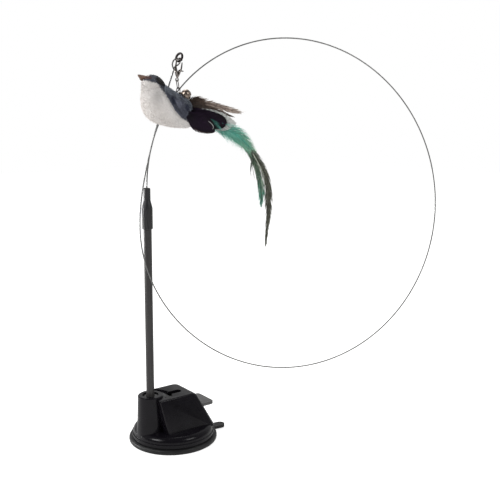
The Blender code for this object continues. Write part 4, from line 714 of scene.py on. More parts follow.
@dataclass
class Mast:
    """The rod with its ferrule, and the spring wire with its eye."""

    rod_radius: float = 3.1
    rod_low: float = 19.7
    rod_top: float = 186.0
    rod_soft: float = 0.4
    fit_gap: float = 0.3
    ferrule_low: float = 171.3
    ferrule_shoulder: float = 186.9
    ferrule_taper: float = 6.0
    ferrule_top: float = 202.1
    ferrule_radius: float = 4.05
    neck_radius: float = 2.6
    neck_round: float = 0.9
    lip_round: float = 0.35
    grip_flats: int = 12
    grip_depth: float = 0.32
    wire_radius: float = 0.5
    wire_room: float = 0.75
    wire_foot: float = 187.8
    bend_start: float = 198.0
    bend_length: float = 906.6
    hoop_radius: float = 131.9
    yaw_deg: float = 20.3
    lean_deg: float = 5.3
    length_shares: tuple[float, ...] = (0.0, 0.06, 0.15, 0.3, 0.45, 0.6, 0.7, 0.78, 0.86, 0.93, 1.0)
    bend_shares: tuple[float, ...] = (0.96, 1.21, 1.07, 0.98, 1.02, 0.99, 1.01, 1.03, 1.25, 0.16, -0.2)
    drift: float = 42.0
    drift_start: float = 0.6
    drift_power: float = 7.0
    eye_length: float = 8.2
    eye_width: float = 4.8
    eye_crossing: float = 1.4
    eye_turn_deg: float = 23.0
    eye_shares: tuple[Place, ...] = (
        (0.25, -0.05, 0.0), (0.5, -0.44, 0.0), (0.78, -0.52, 0.0), (1.0, -0.1, 0.0), (0.93, 0.33, 0.0),
        (0.68, 0.5, 0.0), (0.4, 0.49, 0.22), (0.16, 0.25, 0.72), (0.02, -0.05, 0.96), (-0.06, -0.35, 1.0),
    )
    lacquer: Lacquer = Lacquer("rod lacquer", (0.03, 0.028, 0.028), (0.048, 0.046, 0.046))
    cap_plastic: MouldedPlastic = MouldedPlastic(
        "ferrule plastic", (0.012, 0.012, 0.013), (0.02, 0.02, 0.021), (0.36, 0.5), 0.02
    )
    steel: Metal = Metal("spring wire steel", Plating.DRAWN_STEEL)

    def hoop(self) -> Array:
        """The wire's centre line up to the eye's knot, in toy-frame millimetres.

        The angle is the running sum of the bend, and the place the running sum of the direction, in a
        plane that is yawed and leans back. Near its end the wire drifts towards the camera, by a power of
        the share of its length.
        """
        count = 1600
        share = np.linspace(0, 1, count)
        step = self.bend_length / (count - 1)
        bend = np.interp(share, self.length_shares, self.bend_shares) / self.hoop_radius
        angle = math.pi / 2 - np.concatenate([[0], np.cumsum((bend[1:] + bend[:-1]) / 2 * step)])
        middle = (angle[1:] + angle[:-1]) / 2
        along = np.concatenate([[0], np.cumsum(np.cos(middle) * step)])
        up = np.concatenate([[0], np.cumsum(np.sin(middle) * step)])
        late = np.clip((share - self.drift_start) / (1 - self.drift_start), 0, 1)
        yaw, lean = math.radians(self.yaw_deg), math.radians(self.lean_deg)
        across = np.array([math.cos(yaw), math.sin(yaw), 0])
        rising = np.array([-math.sin(yaw) * math.sin(lean), math.cos(yaw) * math.sin(lean), math.cos(lean)])
        away = np.array([-math.sin(yaw) * math.cos(lean), math.cos(yaw) * math.cos(lean), -math.sin(lean)])
        route = np.outer(along, across) + np.outer(up, rising)
        route = route - np.outer(self.drift * late**self.drift_power, away)
        return route + np.array([0, 0, self.bend_start])

    def eye(self, route: Array) -> Array:
        """The eye's centre line from the knot on, a teardrop that crosses its own strand."""
        strand = unit(route[-1] - route[-3])
        turn = math.radians(self.eye_turn_deg)
        sideways = np.array([-math.cos(turn), -math.sin(turn), 0])
        sideways = unit(sideways - strand * np.dot(sideways, strand))
        proud = np.cross(strand, sideways)
        frame = np.array([strand * self.eye_length, sideways * self.eye_width, proud * self.eye_crossing])
        return curve_through(np.vstack([route[-1], route[-1] + np.array(self.eye_shares) @ frame]), 12)

    def wire(self) -> Piece:
        """The spring wire as one smooth tube."""
        route = self.hoop()
        foot = np.array([[0, 0, self.wire_foot], [0, 0, (self.wire_foot + self.bend_start) / 2]])
        path = np.vstack([foot, route[::4], self.eye(route)[1:]])
        surface = tube(path, self.wire_radius, 14, facing=(-0.35, 0.93, -0.1))
        piece = surface.toy_piece("hoop_wire", self.steel.material())
        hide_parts("spring_wire")
        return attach(piece, "mast")

    def rod(self) -> Piece:
        """The rod, a turned bar with softened ends."""
        wide, low, top, soft = self.rod_radius, self.rod_low, self.rod_top, self.rod_soft
        heights = np.linspace(low + soft, top - soft, 60)
        side = np.column_stack([np.full(60, wide), heights])
        profile = np.vstack([[[0.01, low], [wide - soft, low]], side, [[wide - soft, top], [0.01, top]]])
        piece = revolved(profile, 40).toy_piece("rod_bar", self.lacquer.material())
        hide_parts("rod")
        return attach(piece, "mast")

    def ferrule(self) -> Piece:
        """The wire's cap: flats run up its body and fade out over the taper to a round neck.

        The radius at each height is the profile's, less a ripple of the cosine of the turn times the
        number of flats, which is strongest on the body and nothing on the neck.
        """
        bore, wire_bore = self.rod_radius + self.fit_gap, self.wire_radius + self.wire_room
        body, neck, soft = self.ferrule_radius, self.neck_radius, self.lip_round
        low, shoulder, top = self.ferrule_low, self.ferrule_shoulder, self.ferrule_top
        outer = [(bore, low), (body - soft, low), (body - soft / 4, low + soft / 3), (body, low + soft)]
        outer += [(body, z) for z in np.linspace(low + 1, shoulder - 1, 12)]
        taper = smooth_steps(0, 1, np.linspace(0, 1, 8))
        outer += [(body + (neck - body) * share, shoulder + self.ferrule_taper * share) for share in taper]
        straight = np.linspace(shoulder + self.ferrule_taper + 0.5, top - self.neck_round, 6)
        outer += [(neck, z) for z in straight]
        turns_up = np.linspace(0, math.pi / 2, 6)[1:]
        crown = self.neck_round * np.column_stack([np.cos(turns_up) - 1, np.sin(turns_up) - 1])
        outer += [(neck + inward, top + below) for inward, below in crown] + [(wire_bore, top)]
        outer += [(wire_bore, self.rod_top + self.fit_gap), (bore, self.rod_top + self.fit_gap)]
        profile = np.array(outer)
        sides = self.grip_flats * 8
        surface = revolved(profile, sides)
        turns = np.tile(full_turn(sides), len(profile))
        height = surface.points[:, 2]
        radius = np.hypot(surface.points[:, 0], surface.points[:, 1])
        on_body = smooth_steps(low, low + 1.5, height)
        on_body = on_body * (1 - smooth_steps(shoulder - 1, shoulder + 1.5, height))
        flat = np.abs(np.cos(turns * self.grip_flats / 2))
        depth = self.grip_depth * on_body * (1 - flat) * (radius > bore + 0.2)
        surface.points[:, :2] *= (1 - depth / np.maximum(radius, 1))[:, None]
        piece = surface.toy_piece("wire_cap", self.cap_plastic.material(), 35.0)
        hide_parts("rod_ferrule")
        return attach(piece, "mast")

    def build(self) -> None:
        """Makes the rod, the ferrule and the wire."""
        for piece in (self.rod(), self.ferrule(), self.wire()):
            log.info("mast: %s", piece.name)


# The split ring, clasp, link, bail and bell


@dataclass
class Hardware:
    """The small metal pieces between the wire's eye and the bird."""

    ring_centre: Place = (27.9, -30.6, 294.3)
    ring_lean_deg: float = 25.5
    ring_turn_deg: float = 40.0
    ring_radius: float = 2.95
    ring_pitch: float = 0.98
    ring_width: float = 1.12
    ring_thick: float = 0.7
    ring_points: int = 180
    clasp_centre: Place = (28.0, -31.7, 291.2)
    clasp_yaw_deg: float = 38.0
    clasp_lean_deg: float = 8.0
    clasp_half_width: float = 2.3
    clasp_arch: float = 2.4
    clasp_length: float = 12.0
    mouth_deg: float = 22.0
    rivet_share: Pair = (0.2, -0.57)
    link_radius: float = 0.3
    link_half_width: float = 1.05
    link_straight: float = 4.0
    link_lean_deg: float = -8.0
    tail_radius: float = 1.1
    tail_wire: float = 0.35
    bail_bend: float = 1.1
    bail_wire: float = 0.3
    bail_left: Pair = (24.4, 264.6)
    bail_right: Pair = (28.5, 264.2)
    bird_depth: float = -31.7
    bell_radius: float = 3.7
    bell_wall: float = 0.45
    bell_out: Place = (0.8, 0.55, -0.25)
    bell_hang: float = 270.43
    bell_loop: float = 1.2
    bell_loop_wire: float = 0.35
    band_height: float = 0.2
    band_share: float = 0.07
    slot_depth: float = 0.9
    slot_soft: float = 0.12
    slot_reach: float = 2.5
    slot_half: float = 0.34
    slot_end: float = 0.72
    pellet_radius: float = 1.2
    wire_gap: float = 0.3
    dark: Metal = Metal("ring nickel", Plating.DARK_NICKEL)
    bright: Metal = Metal("clasp nickel", Plating.BRIGHT_NICKEL)
    bronze: Metal = Metal("bell nickel", Plating.WARM_NICKEL)

    def __post_init__(self) -> None:
        """Works out the clasp's and the link's own axes."""
        yaw, lean = math.radians(self.clasp_yaw_deg), math.radians(self.clasp_lean_deg)
        along = np.array([math.sin(lean), 0, math.cos(lean)])
        across = np.array([math.cos(yaw), math.sin(yaw), 0])
        across = unit(across - along * np.dot(across, along))
        self.clasp_axes = np.array([across, along, np.cross(across, along)])
        self.clasp_reach = np.array([self.clasp_half_width, self.clasp_length])
        link_lean = math.radians(self.link_lean_deg)
        self.link_along = np.array([math.sin(link_lean), 0, math.cos(link_lean)])
        through = self.clasp_axes[2]
        self.link_across = unit(through - self.link_along * np.dot(through, self.link_along))

    def on_clasp(self, shares: Array) -> Array:
        """Toy-frame places from shares of the clasp's half width and of its length."""
        shares = np.asarray(shares, float)
        return np.array(self.clasp_centre) + shares * self.clasp_reach @ self.clasp_axes[:2]

    def swelling(self, path: Array, girth: Array, count: int, sides: int = 18, flat: float = 1.0) -> Surface:
        """A tube through the path's points whose radius runs smoothly through the girths."""
        table = even_curve(np.column_stack([path, girth]), count)
        return tube(table[:, :3], table[:, 3], sides, facing=self.clasp_axes[2], flat=flat)

    def tail_centre(self) -> Array:
        """The middle of the clasp's tail ring."""
        return self.on_clasp([(0.0, -1.0)])[0]

    def link_top(self) -> Array:
        """The middle of the link's upper bend."""
        rest = self.tail_wire + self.wire_gap + self.link_radius
        return self.tail_centre() - self.clasp_axes[1] * (self.tail_radius - rest)

    def link_bottom(self) -> Array:
        """The middle of the link's lower bend."""
        return self.link_top() - self.link_along * (self.link_straight + 2 * self.link_half_width)

    def bail_path(self) -> Array:
        """The bail's centre line over the link's lower bend and down into the back."""
        crest = self.link_bottom() + np.array([0, 0, 2 * self.link_radius + self.wire_gap])
        centre = crest - np.array([0, 0, self.bail_bend])
        turns = np.linspace(0, math.pi, 13)
        bend = centre + self.bail_bend * np.column_stack([np.cos(turns), 0 * turns, np.sin(turns)])
        left = np.array([self.bail_left[0], self.bird_depth, self.bail_left[1]])
        right = np.array([self.bail_right[0], self.bird_depth, self.bail_right[1]])
        return np.vstack([right, (right + bend[0]) / 2, bend, (left + bend[-1]) / 2, left])

    @staticmethod
    def placed(
        surface: Surface, name: str, finish: Material, node: str, slot: str, body: str
    ) -> Piece:
        """Puts a toy-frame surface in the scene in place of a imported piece."""
        piece = surface.toy_piece(name, finish)
        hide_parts(node)
        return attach(piece, body)

    def ring(self) -> Surface:
        """Two turns of flat wire: a helix whose section is a flat ellipse, with its ends ground thin."""
        lean, turned = math.radians(self.ring_lean_deg), math.radians(self.ring_turn_deg)
        long_axis = np.array([math.sin(lean), 0, math.cos(lean)])
        level = np.array([math.cos(lean), 0, -math.sin(lean)])
        wide = math.cos(turned) * level - math.sin(turned) * np.array([0, 1, 0])
        normal = np.cross(long_axis, wide)
        turns = np.linspace(0, 4 * math.pi, self.ring_points)
        offset = (turns / (2 * math.pi) - 1) * self.ring_pitch
        path = np.array(self.ring_centre) + self.ring_radius * np.outer(np.cos(turns), long_axis)
        path = path + self.ring_radius * np.outer(np.sin(turns), wide) + np.outer(offset, normal)
        number = np.arange(self.ring_points)
        ends = np.minimum(number, number[::-1]) / 6
        girth = self.ring_thick / 2 * np.clip(0.45 + ends, 0, 1)
        return tube(path, girth, 16, facing=normal, flat=self.ring_width / self.ring_thick)

    def clasp(self) -> Surface:
        """The clasp's hook, cheek, body and tail ring as tubes whose girth swells into one another."""
        across, along, _ = self.clasp_axes
        turns = np.linspace(math.radians(self.mouth_deg), math.pi, 14)
        centre = np.array(self.clasp_centre)
        hook = centre + np.outer(np.cos(turns) * self.clasp_half_width, across)
        hook = hook + np.outer(np.sin(turns) * self.clasp_arch, along)
        arm = [(-1.02, -0.12), (-1.02, -0.26), (-0.92, -0.4), (-0.66, -0.56), (-0.36, -0.72), (-0.1, -0.86)]
        girth = np.concatenate([[0.26, 0.4], np.full(12, 0.5), [0.52, 0.62, 0.85, 1.1, 0.95, 0.6]])
        body = self.swelling(np.vstack([hook, self.on_clasp(arm)]), girth, 90, flat=0.95)
        cheek = self.on_clasp([(0.55, -0.44), (0.42, -0.54), (0.26, -0.66), (0.1, -0.8), (0.0, -0.92)])
        right = self.swelling(cheek, np.array([0.75, 1.15, 1.2, 0.9, 0.5]), 40, flat=0.85)
        turns = full_turn(48)
        loop = self.tail_centre() + np.outer(np.cos(turns) * self.tail_radius, across)
        loop = loop + np.outer(np.sin(turns) * self.tail_radius, along)
        tail = tube(loop, self.tail_wire, 14, closed=True, facing=self.clasp_axes[2])
        return body.joined(right).joined(tail)

    def gate(self) -> Surface:
        """The sprung gate from its rivet to the hook's mouth, with its thumb nub."""
        arm = [self.rivet_share, (0.5, -0.53), (0.85, -0.45), (1.0, -0.3), (1.03, -0.14), (1.0, 0.0)]
        blade = self.swelling(self.on_clasp(arm), np.array([0.62, 0.74, 0.7, 0.54, 0.44, 0.3]), 50, 14)
        nub = self.on_clasp([(0.7, -0.49), (1.15, -0.487), (1.55, -0.48), (1.85, -0.47)])
        return blade.joined(self.swelling(nub, np.array([0.42, 0.46, 0.42, 0.3]), 24, 14))

    def rivet(self) -> Surface:
        """The gate's rivet, a bar through the clasp with domed heads."""
        centre = self.on_clasp([self.rivet_share])[0]
        normal = self.clasp_axes[2]
        reach = np.array([-1.35, -1.3, -1.15, -1.1, 1.1, 1.15, 1.3, 1.35])
        girth = np.array([0.1, 0.35, 0.5, 0.38, 0.38, 0.5, 0.35, 0.1])
        return tube(centre + np.outer(reach, normal), girth, 20, facing=self.clasp_axes[1])

    def link(self) -> Surface:
        """The oval link: two half circles joined by straights."""
        upper = self.link_top() - self.link_along * self.link_half_width
        lower = upper - self.link_along * self.link_straight
        turns = np.linspace(0, math.pi, 17)
        bow = np.outer(np.cos(turns), self.link_across) + np.outer(np.sin(turns), self.link_along)
        top = upper + self.link_half_width * bow
        bottom = lower - self.link_half_width * bow
        straight = np.linspace(0, 1, 8)[1:-1, None]
        side = top[-1] + (bottom[0] - top[-1]) * straight
        back = bottom[-1] + (top[0] - bottom[-1]) * straight
        path, facing = np.vstack([top, side, bottom, back]), np.cross(self.link_across, self.link_along)
        return tube(path, self.link_radius, 14, closed=True, facing=facing)

    def bell(self) -> tuple[Surface, Surface]:
        """The bell's shell with its band, slot and loop, and its pellet.

        The shell is a globe about the slot's axis. Where a point lies in the slot, whose half width
        swells to a round at both ends, the wall's radius falls to that of the inner skin.
        """
        path = self.bail_path()
        right, bend = path[0], path[2]
        share = (self.bell_hang - right[2]) / (bend[2] - right[2])
        leg = right + (bend - right) * share
        out = unit(np.array(self.bell_out))
        reach = self.bell_radius + 2 * (self.bell_loop - self.bell_loop_wire - self.wire_gap)
        centre = leg + out * reach
        side = unit(np.cross(out, (0, 0, 1)))
        axes = np.array([side, np.cross(side, out), out])
        ball = ball_rings(np.linspace(0.02, math.pi - 0.02, 120)[:, None], 160)
        band = np.exp(-((ball[..., 2] / self.band_share) ** 4)) * self.band_height
        slot_u, slot_v = ball[..., 0] * self.bell_radius, ball[..., 1] * self.bell_radius
        ends = np.hypot(np.abs(slot_u) - self.slot_reach, slot_v) - self.slot_end
        slit = np.where(np.abs(slot_u) < self.slot_reach, np.abs(slot_v) - self.slot_half, FAR)
        inside = np.where(ball[..., 2] > 0.1, np.minimum(ends, slit), FAR)
        sunk = 1 - smooth_steps(-self.slot_soft, self.slot_soft, inside)
        radius = self.bell_radius + band - sunk * (self.bell_wall + self.slot_depth)
        pole = [0, 0, self.bell_radius]
        shell = capped(ball * radius[..., None], np.array([pole, np.negative(pole)]))
        turns = full_turn(40)
        loop = self.bell_loop * np.column_stack([np.cos(turns), 0 * turns, np.sin(turns)])
        loop[:, 2] -= self.bell_radius + self.bell_loop - self.bell_loop_wire
        shell = shell.joined(tube(loop, self.bell_loop_wire, 12, closed=True))
        shell.points = shell.points @ axes + centre
        rest = self.bell_radius - self.bell_wall - self.wire_gap - self.pellet_radius
        pellet = globe(np.full(3, self.pellet_radius), centre - np.array([0, 0, rest]), 20, 32)
        return shell, pellet

    def build(self) -> None:
        """Makes the ring, clasp, link, bail and bell."""
        dark, bright, bronze = self.dark.material(), self.bright.material(), self.bronze.material()
        self.placed(self.ring(), "key_ring", dark, "split_ring", "ring_steel", "ring")
        self.placed(self.clasp(), "clasp_hook", bright, "clasp_body", "clasp_plating", "clasp")
        self.placed(self.gate(), "clasp_lever", bright, "clasp_gate", "clasp_plating", "gate")
        self.placed(self.rivet(), "clasp_pin", bright, "clasp_rivet", "clasp_plating", "clasp")
        self.placed(self.link(), "oval_link", bright, "chain_link", "link_plating", "link")
        bail = tube(self.bail_path(), self.bail_wire, 14, facing=(0, 1, 0))
        self.placed(bail, "back_bail", dark, "bird_bail", "bail_plating", "bird")
        shell, pellet = self.bell()
        self.placed(shell, "jingle_bell", bronze, "bell_shell", "bell_plating", "bell")
        self.placed(pellet, "bell_ball", dark, "bell_pellet", "pellet_steel", "pellet")
        log.info("hardware made")


# The plush bird


def blot(across: Array, along: Array, size: Pair) -> Array:
    """A soft oval patch: one in its middle, and e to the power of minus one at its size."""
    return np.exp(-((across / size[0]) ** 2 + (along / size[1]) ** 2))


@dataclass
class PlushBody:
    """The stuffed body's shape: ellipses square to a slanted axis, with smooth sizes between them."""

    depth: float = -31.7
    slant_deg: float = 45.0
    stations: Stations = (
        (4.5, 274.0, 3.0, 3.2), (5.2, 273.2, 5.6, 5.7), (7.2, 270.4, 8.5, 8.4), (10.0, 266.7, 11.35, 10.9),
        (13.7, 262.9, 12.65, 12.1), (17.8, 259.7, 12.8, 12.2), (22.4, 256.8, 11.5, 11.1),
        (27.0, 253.9, 9.4, 9.1), (31.4, 251.3, 6.6, 6.5), (34.8, 249.3, 3.9, 4.0), (36.4, 248.4, 1.5, 1.6),
    )

    def __post_init__(self) -> None:
        """Works out the axis, and the centre line and sizes along it."""
        slant = math.radians(self.slant_deg)
        self.along = np.array([math.cos(slant), 0, -math.sin(slant)])
        self.up = np.array([math.sin(slant), 0, math.cos(slant)])
        table = curve_through(np.array(self.stations), 12)
        self.run = table[:, 0] * self.along[0] + table[:, 1] * self.along[2]
        self.rise = table[:, 0] * self.up[0] + table[:, 1] * self.up[2]
        self.high, self.deep = table[:, 2], table[:, 3]

    def section(self, run: Array) -> tuple[Array, Array, Array]:
        """The centre's rise, the half height and the half depth at places along the axis."""
        return tuple(np.interp(run, self.run, values) for values in (self.rise, self.high, self.deep))

    def skin(self, run: Array, turn: Array, grow: float = 0.0) -> Array:
        """Points of the skin: the centre, plus sin of the turn upwards and cos of the turn in depth."""
        rise, high, deep = self.section(run)
        centre = run[..., None] * self.along + rise[..., None] * self.up
        lift = ((high + grow) * np.sin(turn))[..., None] * self.up
        side = ((deep + grow) * np.cos(turn))[..., None] * np.array([0.0, -1.0, 0.0])
        return centre + lift + side + np.array([0, self.depth, 0])

    def sheet_over(self, x: Array, z: Array, side: int, grow: Array) -> Array:
        """Points on the skin, grown outwards, above places of the side view.

        The height off the axis gives the share of the half height, and the depth is the half depth times
        the root of one less that share squared.
        """
        run = x * self.along[0] + z * self.along[2]
        rise, high, deep = self.section(run)
        off = x * self.up[0] + z * self.up[2] - rise
        share = np.clip(off / (high + grow), -1, 1)
        out = (deep + grow) * np.sqrt(1 - share**2)
        return np.stack([x, self.depth + side * out, z], axis=-1)


@dataclass
class Bird:
    """The plush body and head, the beak and the two felt wings."""

    body: PlushBody = field(default_factory=PlushBody)
    seed: int = 7
    body_pile: int = 13000
    head_pile: int = 7000
    wing_pile: int = 5000
    pile_length: float = 1.15
    pile_width: float = 0.075
    nap_length: float = 0.75
    sink: float = 0.5
    skin_rings: int = 90
    skin_sides: int = 72
    fullest: float = 12.6
    body_middle: Place = (15.0, -31.7, 262.0)
    head_core: Place = (9.5, -31.7, 273.5)
    crown_centre: Place = (9.0, -31.7, 275.9)
    crown_radii: Place = (7.3, 6.9, 6.7)
    throat_centre: Place = (9.5, -31.7, 270.5)
    throat_radii: Place = (8.0, 8.0, 7.0)
    head_blend: float = 8.0
    white: Colour = (0.84, 0.81, 0.79)
    # The darker, warmer tone that painted shade gives the white pile on the underside.
    belly_shade: Colour = (0.72, 0.66, 0.62)
    slate: Colour = (0.092, 0.098, 0.128)
    slate_light: Colour = (0.26, 0.29, 0.32)
    navy: Colour = (0.03, 0.035, 0.06)
    nape: Colour = (0.014, 0.012, 0.012)
    horn: Colour = (0.105, 0.055, 0.036)
    horn_light: Colour = (0.14, 0.08, 0.058)
    gape: Colour = (0.1, 0.045, 0.045)
    cap_line: tuple[Pair, ...] = (
        (1.6, 279.4), (3.3, 278.5), (6.7, 278.1), (9.3, 277.3), (12.6, 276.8), (14.1, 275.9), (15.3, 273.4),
        (16.8, 271.6), (19.8, 268.6), (22.0, 264.5), (24.2, 261.6), (25.7, 258.9), (28.0, 255.6),
        (30.2, 253.0), (34.0, 250.9), (36.4, 250.2),
    )
    forehead: float = 7.6
    nape_heights: Pair = (273.0, 281.0)
    nape_stretches: Pair = (0.38, 0.06)
    nape_middle: Pair = (15.4, 278.0)
    nape_axis: Pair = (0.763, 0.647)
    nape_size: Pair = (4.3, 2.2)
    # Middle and size of the soft patch of painted shade on the breast beside the wing.
    breast_shade_middle: Pair = (14.2, 268.5)
    breast_shade_size: Pair = (4.2, 6.5)
    gape_floor: float = 279.2
    gape_roof: float = 282.6
    gape_end: float = 9.9
    brow_slope: float = 0.17
    cap_depth: float = 0.68
    wing_outline: tuple[Pair, ...] = (
        (18.0, 275.6), (21.8, 273.2), (25.5, 270.9), (31.0, 268.0), (35.2, 264.2), (36.5, 261.2),
        (35.7, 258.1), (33.8, 255.4), (31.6, 253.2), (28.6, 255.4), (25.4, 259.5), (22.7, 264.6),
        (19.2, 270.4),
    )
    wing_middle: Pair = (27.6, 263.4)
    wing_axis: Place = (22.0, -31.7, 257.0)
    wing_thick: float = 1.6
    wing_edge: float = 0.45
    wing_gap: float = 0.3
    wing_rings: int = 30
    wing_sides: int = 96
    wing_spots: Stations = ((24.7, 265.0, 1.6, 2.5), (33.7, 260.7, 1.5, 2.5))
    upper_beak: Stations = (
        (-0.6, 282.5, 281.6, 0.5), (0.4, 282.6, 280.3, 1.3), (1.8, 282.4, 279.3, 2.0),
        (3.6, 282.1, 279.2, 2.7), (6.0, 281.6, 279.2, 3.5), (9.2, 281.0, 279.2, 4.6),
    )
    lower_beak: Stations = (
        (0.6, 280.2, 279.6, 0.4), (1.2, 279.9, 278.8, 1.0), (2.2, 279.6, 278.2, 1.6),
        (4.0, 279.4, 278.1, 2.3), (7.4, 279.2, 278.1, 2.6),
    )
    beak_sides: int = 28
    plush: Painted = Painted("plush pile", 0.95, sheen=0.25, vary=0.06)
    felt: Painted = Painted("wing felt", 0.9, sheen=0.2, sheen_tint=(0.7, 0.78, 0.9), vary=0.22, grain=900.0)
    beak_felt: Painted = Painted("beak horn", 0.5, vary=0.2, grain=1100.0, specular=0.25)

    def coat(self, points: Array, rng: Rng) -> Array:
        """The pile's colour at toy-frame places: white below the cap line, slate above, black at the nape."""
        x, z = points[:, 0], points[:, 2]
        line = np.interp(x, *np.array(self.cap_line).T)
        ragged = rng.normal(0, 0.35, len(points))
        above = smooth_steps(-0.3, 0.5, z - line + ragged)[:, None]
        dapple = 0.5 + 0.5 * np.sin(x * 1.7 + 1.3 * np.sin(z * 1.1)) * np.cos(z * 1.3 + points[:, 1] * 0.9)
        slate = mixed(self.slate, self.slate_light, (dapple * 0.35)[:, None]) * self.cap_depth
        down, out = x - self.nape_middle[0], z - self.nape_middle[1]
        cos, sin = self.nape_axis
        dark = blot(cos * down - sin * out, sin * down + cos * out, self.nape_size)
        dark = smooth_steps(0.25, 0.6, dark + rng.normal(0, 0.06, len(points)))[:, None]
        under = np.exp(-(((z - line - 0.5) / 0.9) ** 2)) * (1 - smooth_steps(13.0, 15.0, x))
        upper = mixed(mixed(slate, self.nape, dark), self.navy, 0.7 * under[:, None])
        roof = z + self.brow_slope * x - self.gape_roof
        gape = smooth_steps(-0.2, 0.2, z - self.gape_floor - 0.03 * x) * smooth_steps(-0.3, 0.2, -roof)
        gape = (gape * (1 - smooth_steps(self.gape_end - 0.9, self.gape_end, x)))[:, None]
        upper = mixed(upper, np.array(self.gape) * (0.75 + 0.5 * dapple[:, None]), gape)
        brow = (smooth_steps(-0.4, 0.2, roof) * (1 - smooth_steps(-0.5, 0.4, x - self.forehead)))[:, None]
        upper = mixed(upper, self.white, brow)
        # The white is painted darker and warmer further below the cap line: painted shade on the underside.
        lower = mixed(self.white, self.belly_shade, smooth_steps(4.0, 16.0, line - z)[:, None] * 0.25)
        # A soft patch of painted shade darkens the breast's white beside the wing.
        breast_shade = blot(x - self.breast_shade_middle[0], z - self.breast_shade_middle[1], self.breast_shade_size)
        return mixed(lower * (0.95 - 0.32 * breast_shade)[:, None], upper, above)

    def pile(self, roots: Array, normals: Array, length: float, rng: Rng) -> Fibres:
        """Short fibres that leave the skin along its normal and comb back towards the tail."""
        count = len(roots)
        comb = self.body.along + np.array([0, 0, -0.15])
        comb = comb - normals * np.sum(comb * normals, axis=1, keepdims=True)
        ways = unit(normals * 0.75 + comb * 0.55 + rng.normal(0, 0.16, (count, 3)))
        bends = comb * 0.28 - normals * 0.12
        tints = self.coat(roots, rng) * rng.uniform(0.9, 1.08, (count, 1))
        return Fibres(
            roots=roots,
            ways=ways,
            bends=bends,
            sides=unit(np.cross(ways, rng.normal(0, 1, (count, 3)))),
            lengths=length * rng.uniform(0.7, 1.2, count),
            half_widths=np.full(count, self.pile_width) * rng.uniform(0.7, 1.3, count),
            thick=0.8,
            rings=2,
            # Painted shade and light: each fibre is darker at its root, deep in the pile, and lighter at its
            # tip.
            root_tints=tints * 0.92,
            tip_tints=np.minimum(tints * 1.06, 0.9),
        )

    def body_piece(self, finish: Material) -> Piece:
        """The body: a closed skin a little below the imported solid, and its pile."""
        rng = np.random.default_rng(self.seed)
        first, last = self.body.run[0], self.body.run[-1]
        runs = np.linspace(first, last, self.skin_rings)[:, None] + np.zeros(self.skin_sides)
        rings = self.body.skin(runs, np.zeros((self.skin_rings, 1)) + full_turn(self.skin_sides), -self.sink)
        shell = capped(rings, rings[[0, -1]].mean(axis=1), flipped=True)
        # The skin under the pile is painted darker than the pile: painted shade between the fibres.
        shell.tint = self.coat(shell.points, rng) * 0.85
        run = first + (last - first) * rng.uniform(0.004, 0.996, self.body_pile * 3)
        turn = rng.uniform(0, 2 * math.pi, self.body_pile * 3)
        _, high, _ = self.body.section(run)
        keep = rng.uniform(0, self.fullest, len(run)) < high
        run, turn = run[keep][: self.body_pile], turn[keep][: self.body_pile]
        roots = self.body.skin(run, turn, -self.sink - 0.1)
        step = 0.02
        by_run = self.body.skin(run + step, turn, -self.sink) - self.body.skin(run - step, turn, -self.sink)
        by_turn = self.body.skin(run, turn + step, -self.sink) - self.body.skin(run, turn - step, -self.sink)
        normals = unit(np.cross(by_run, by_turn))
        inward = np.sum(normals * (roots - np.array(self.body_middle)), axis=1) < 0
        normals[inward] *= -1
        fibres = self.pile(roots, normals, self.pile_length, rng).surface()
        return shell.joined(fibres).toy_piece("plush_body", finish)

    def drawn_back(self, points: Array) -> Array:
        """The head's points with the half behind its middle drawn out to the nape, most of all low down."""
        behind = np.maximum(points[:, 0] - self.crown_centre[0], 0)
        stretch = np.interp(points[:, 2], self.nape_heights, self.nape_stretches)
        return points + np.outer(behind * stretch, (1.0, 0.0, 0.0))

    def head_skin(self, ways: Array) -> tuple[Array, Array]:
        """The head's skin and normals along unit ways from its core.

        The reach to the crown's ellipsoid and to the throat's are run into one: it is the root of the sum
        of their powers, so the longer of the two wins with a soft fillet between them.
        """
        core = np.array(self.head_core)
        reaches, slopes = [], []
        for middle, radii in ((self.crown_centre, self.crown_radii), (self.throat_centre, self.throat_radii)):
            start, step = (core - np.array(middle)) / np.array(radii), ways / np.array(radii)
            square, cross = np.sum(step * step, axis=1), step @ start
            reaches.append((np.sqrt(cross**2 - square * (start @ start - 1)) - cross) / square)
            slopes.append((start + step * reaches[-1][:, None]) / np.array(radii))
        weights = np.array(reaches) ** self.head_blend
        reach = weights.sum(axis=0) ** (1 / self.head_blend) - self.sink
        share = (weights[0] / weights.sum(axis=0))[:, None]
        normals = unit(unit(slopes[0]) * share + unit(slopes[1]) * (1 - share))
        return self.drawn_back(core + ways * reach[:, None]), normals

    def head_piece(self, finish: Material) -> Piece:
        """The head: a skin of crown and throat with the same pile, coloured by cap, nape and throat."""
        rng = np.random.default_rng(self.seed + 1)
        skin = globe((1.0, 1.0, 1.0), (0.0, 0.0, 0.0), 48, 72)
        skin.points, _ = self.head_skin(unit(skin.points))
        # The skin under the pile is painted darker than the pile: painted shade between the fibres.
        skin.tint = self.coat(skin.points, rng) * 0.92
        roots, normals = self.head_skin(unit(rng.normal(0, 1, (self.head_pile, 3))))
        fibres = self.pile(roots, normals, self.pile_length * 0.8, rng).surface()
        return skin.joined(fibres).toy_piece("plush_head", finish)

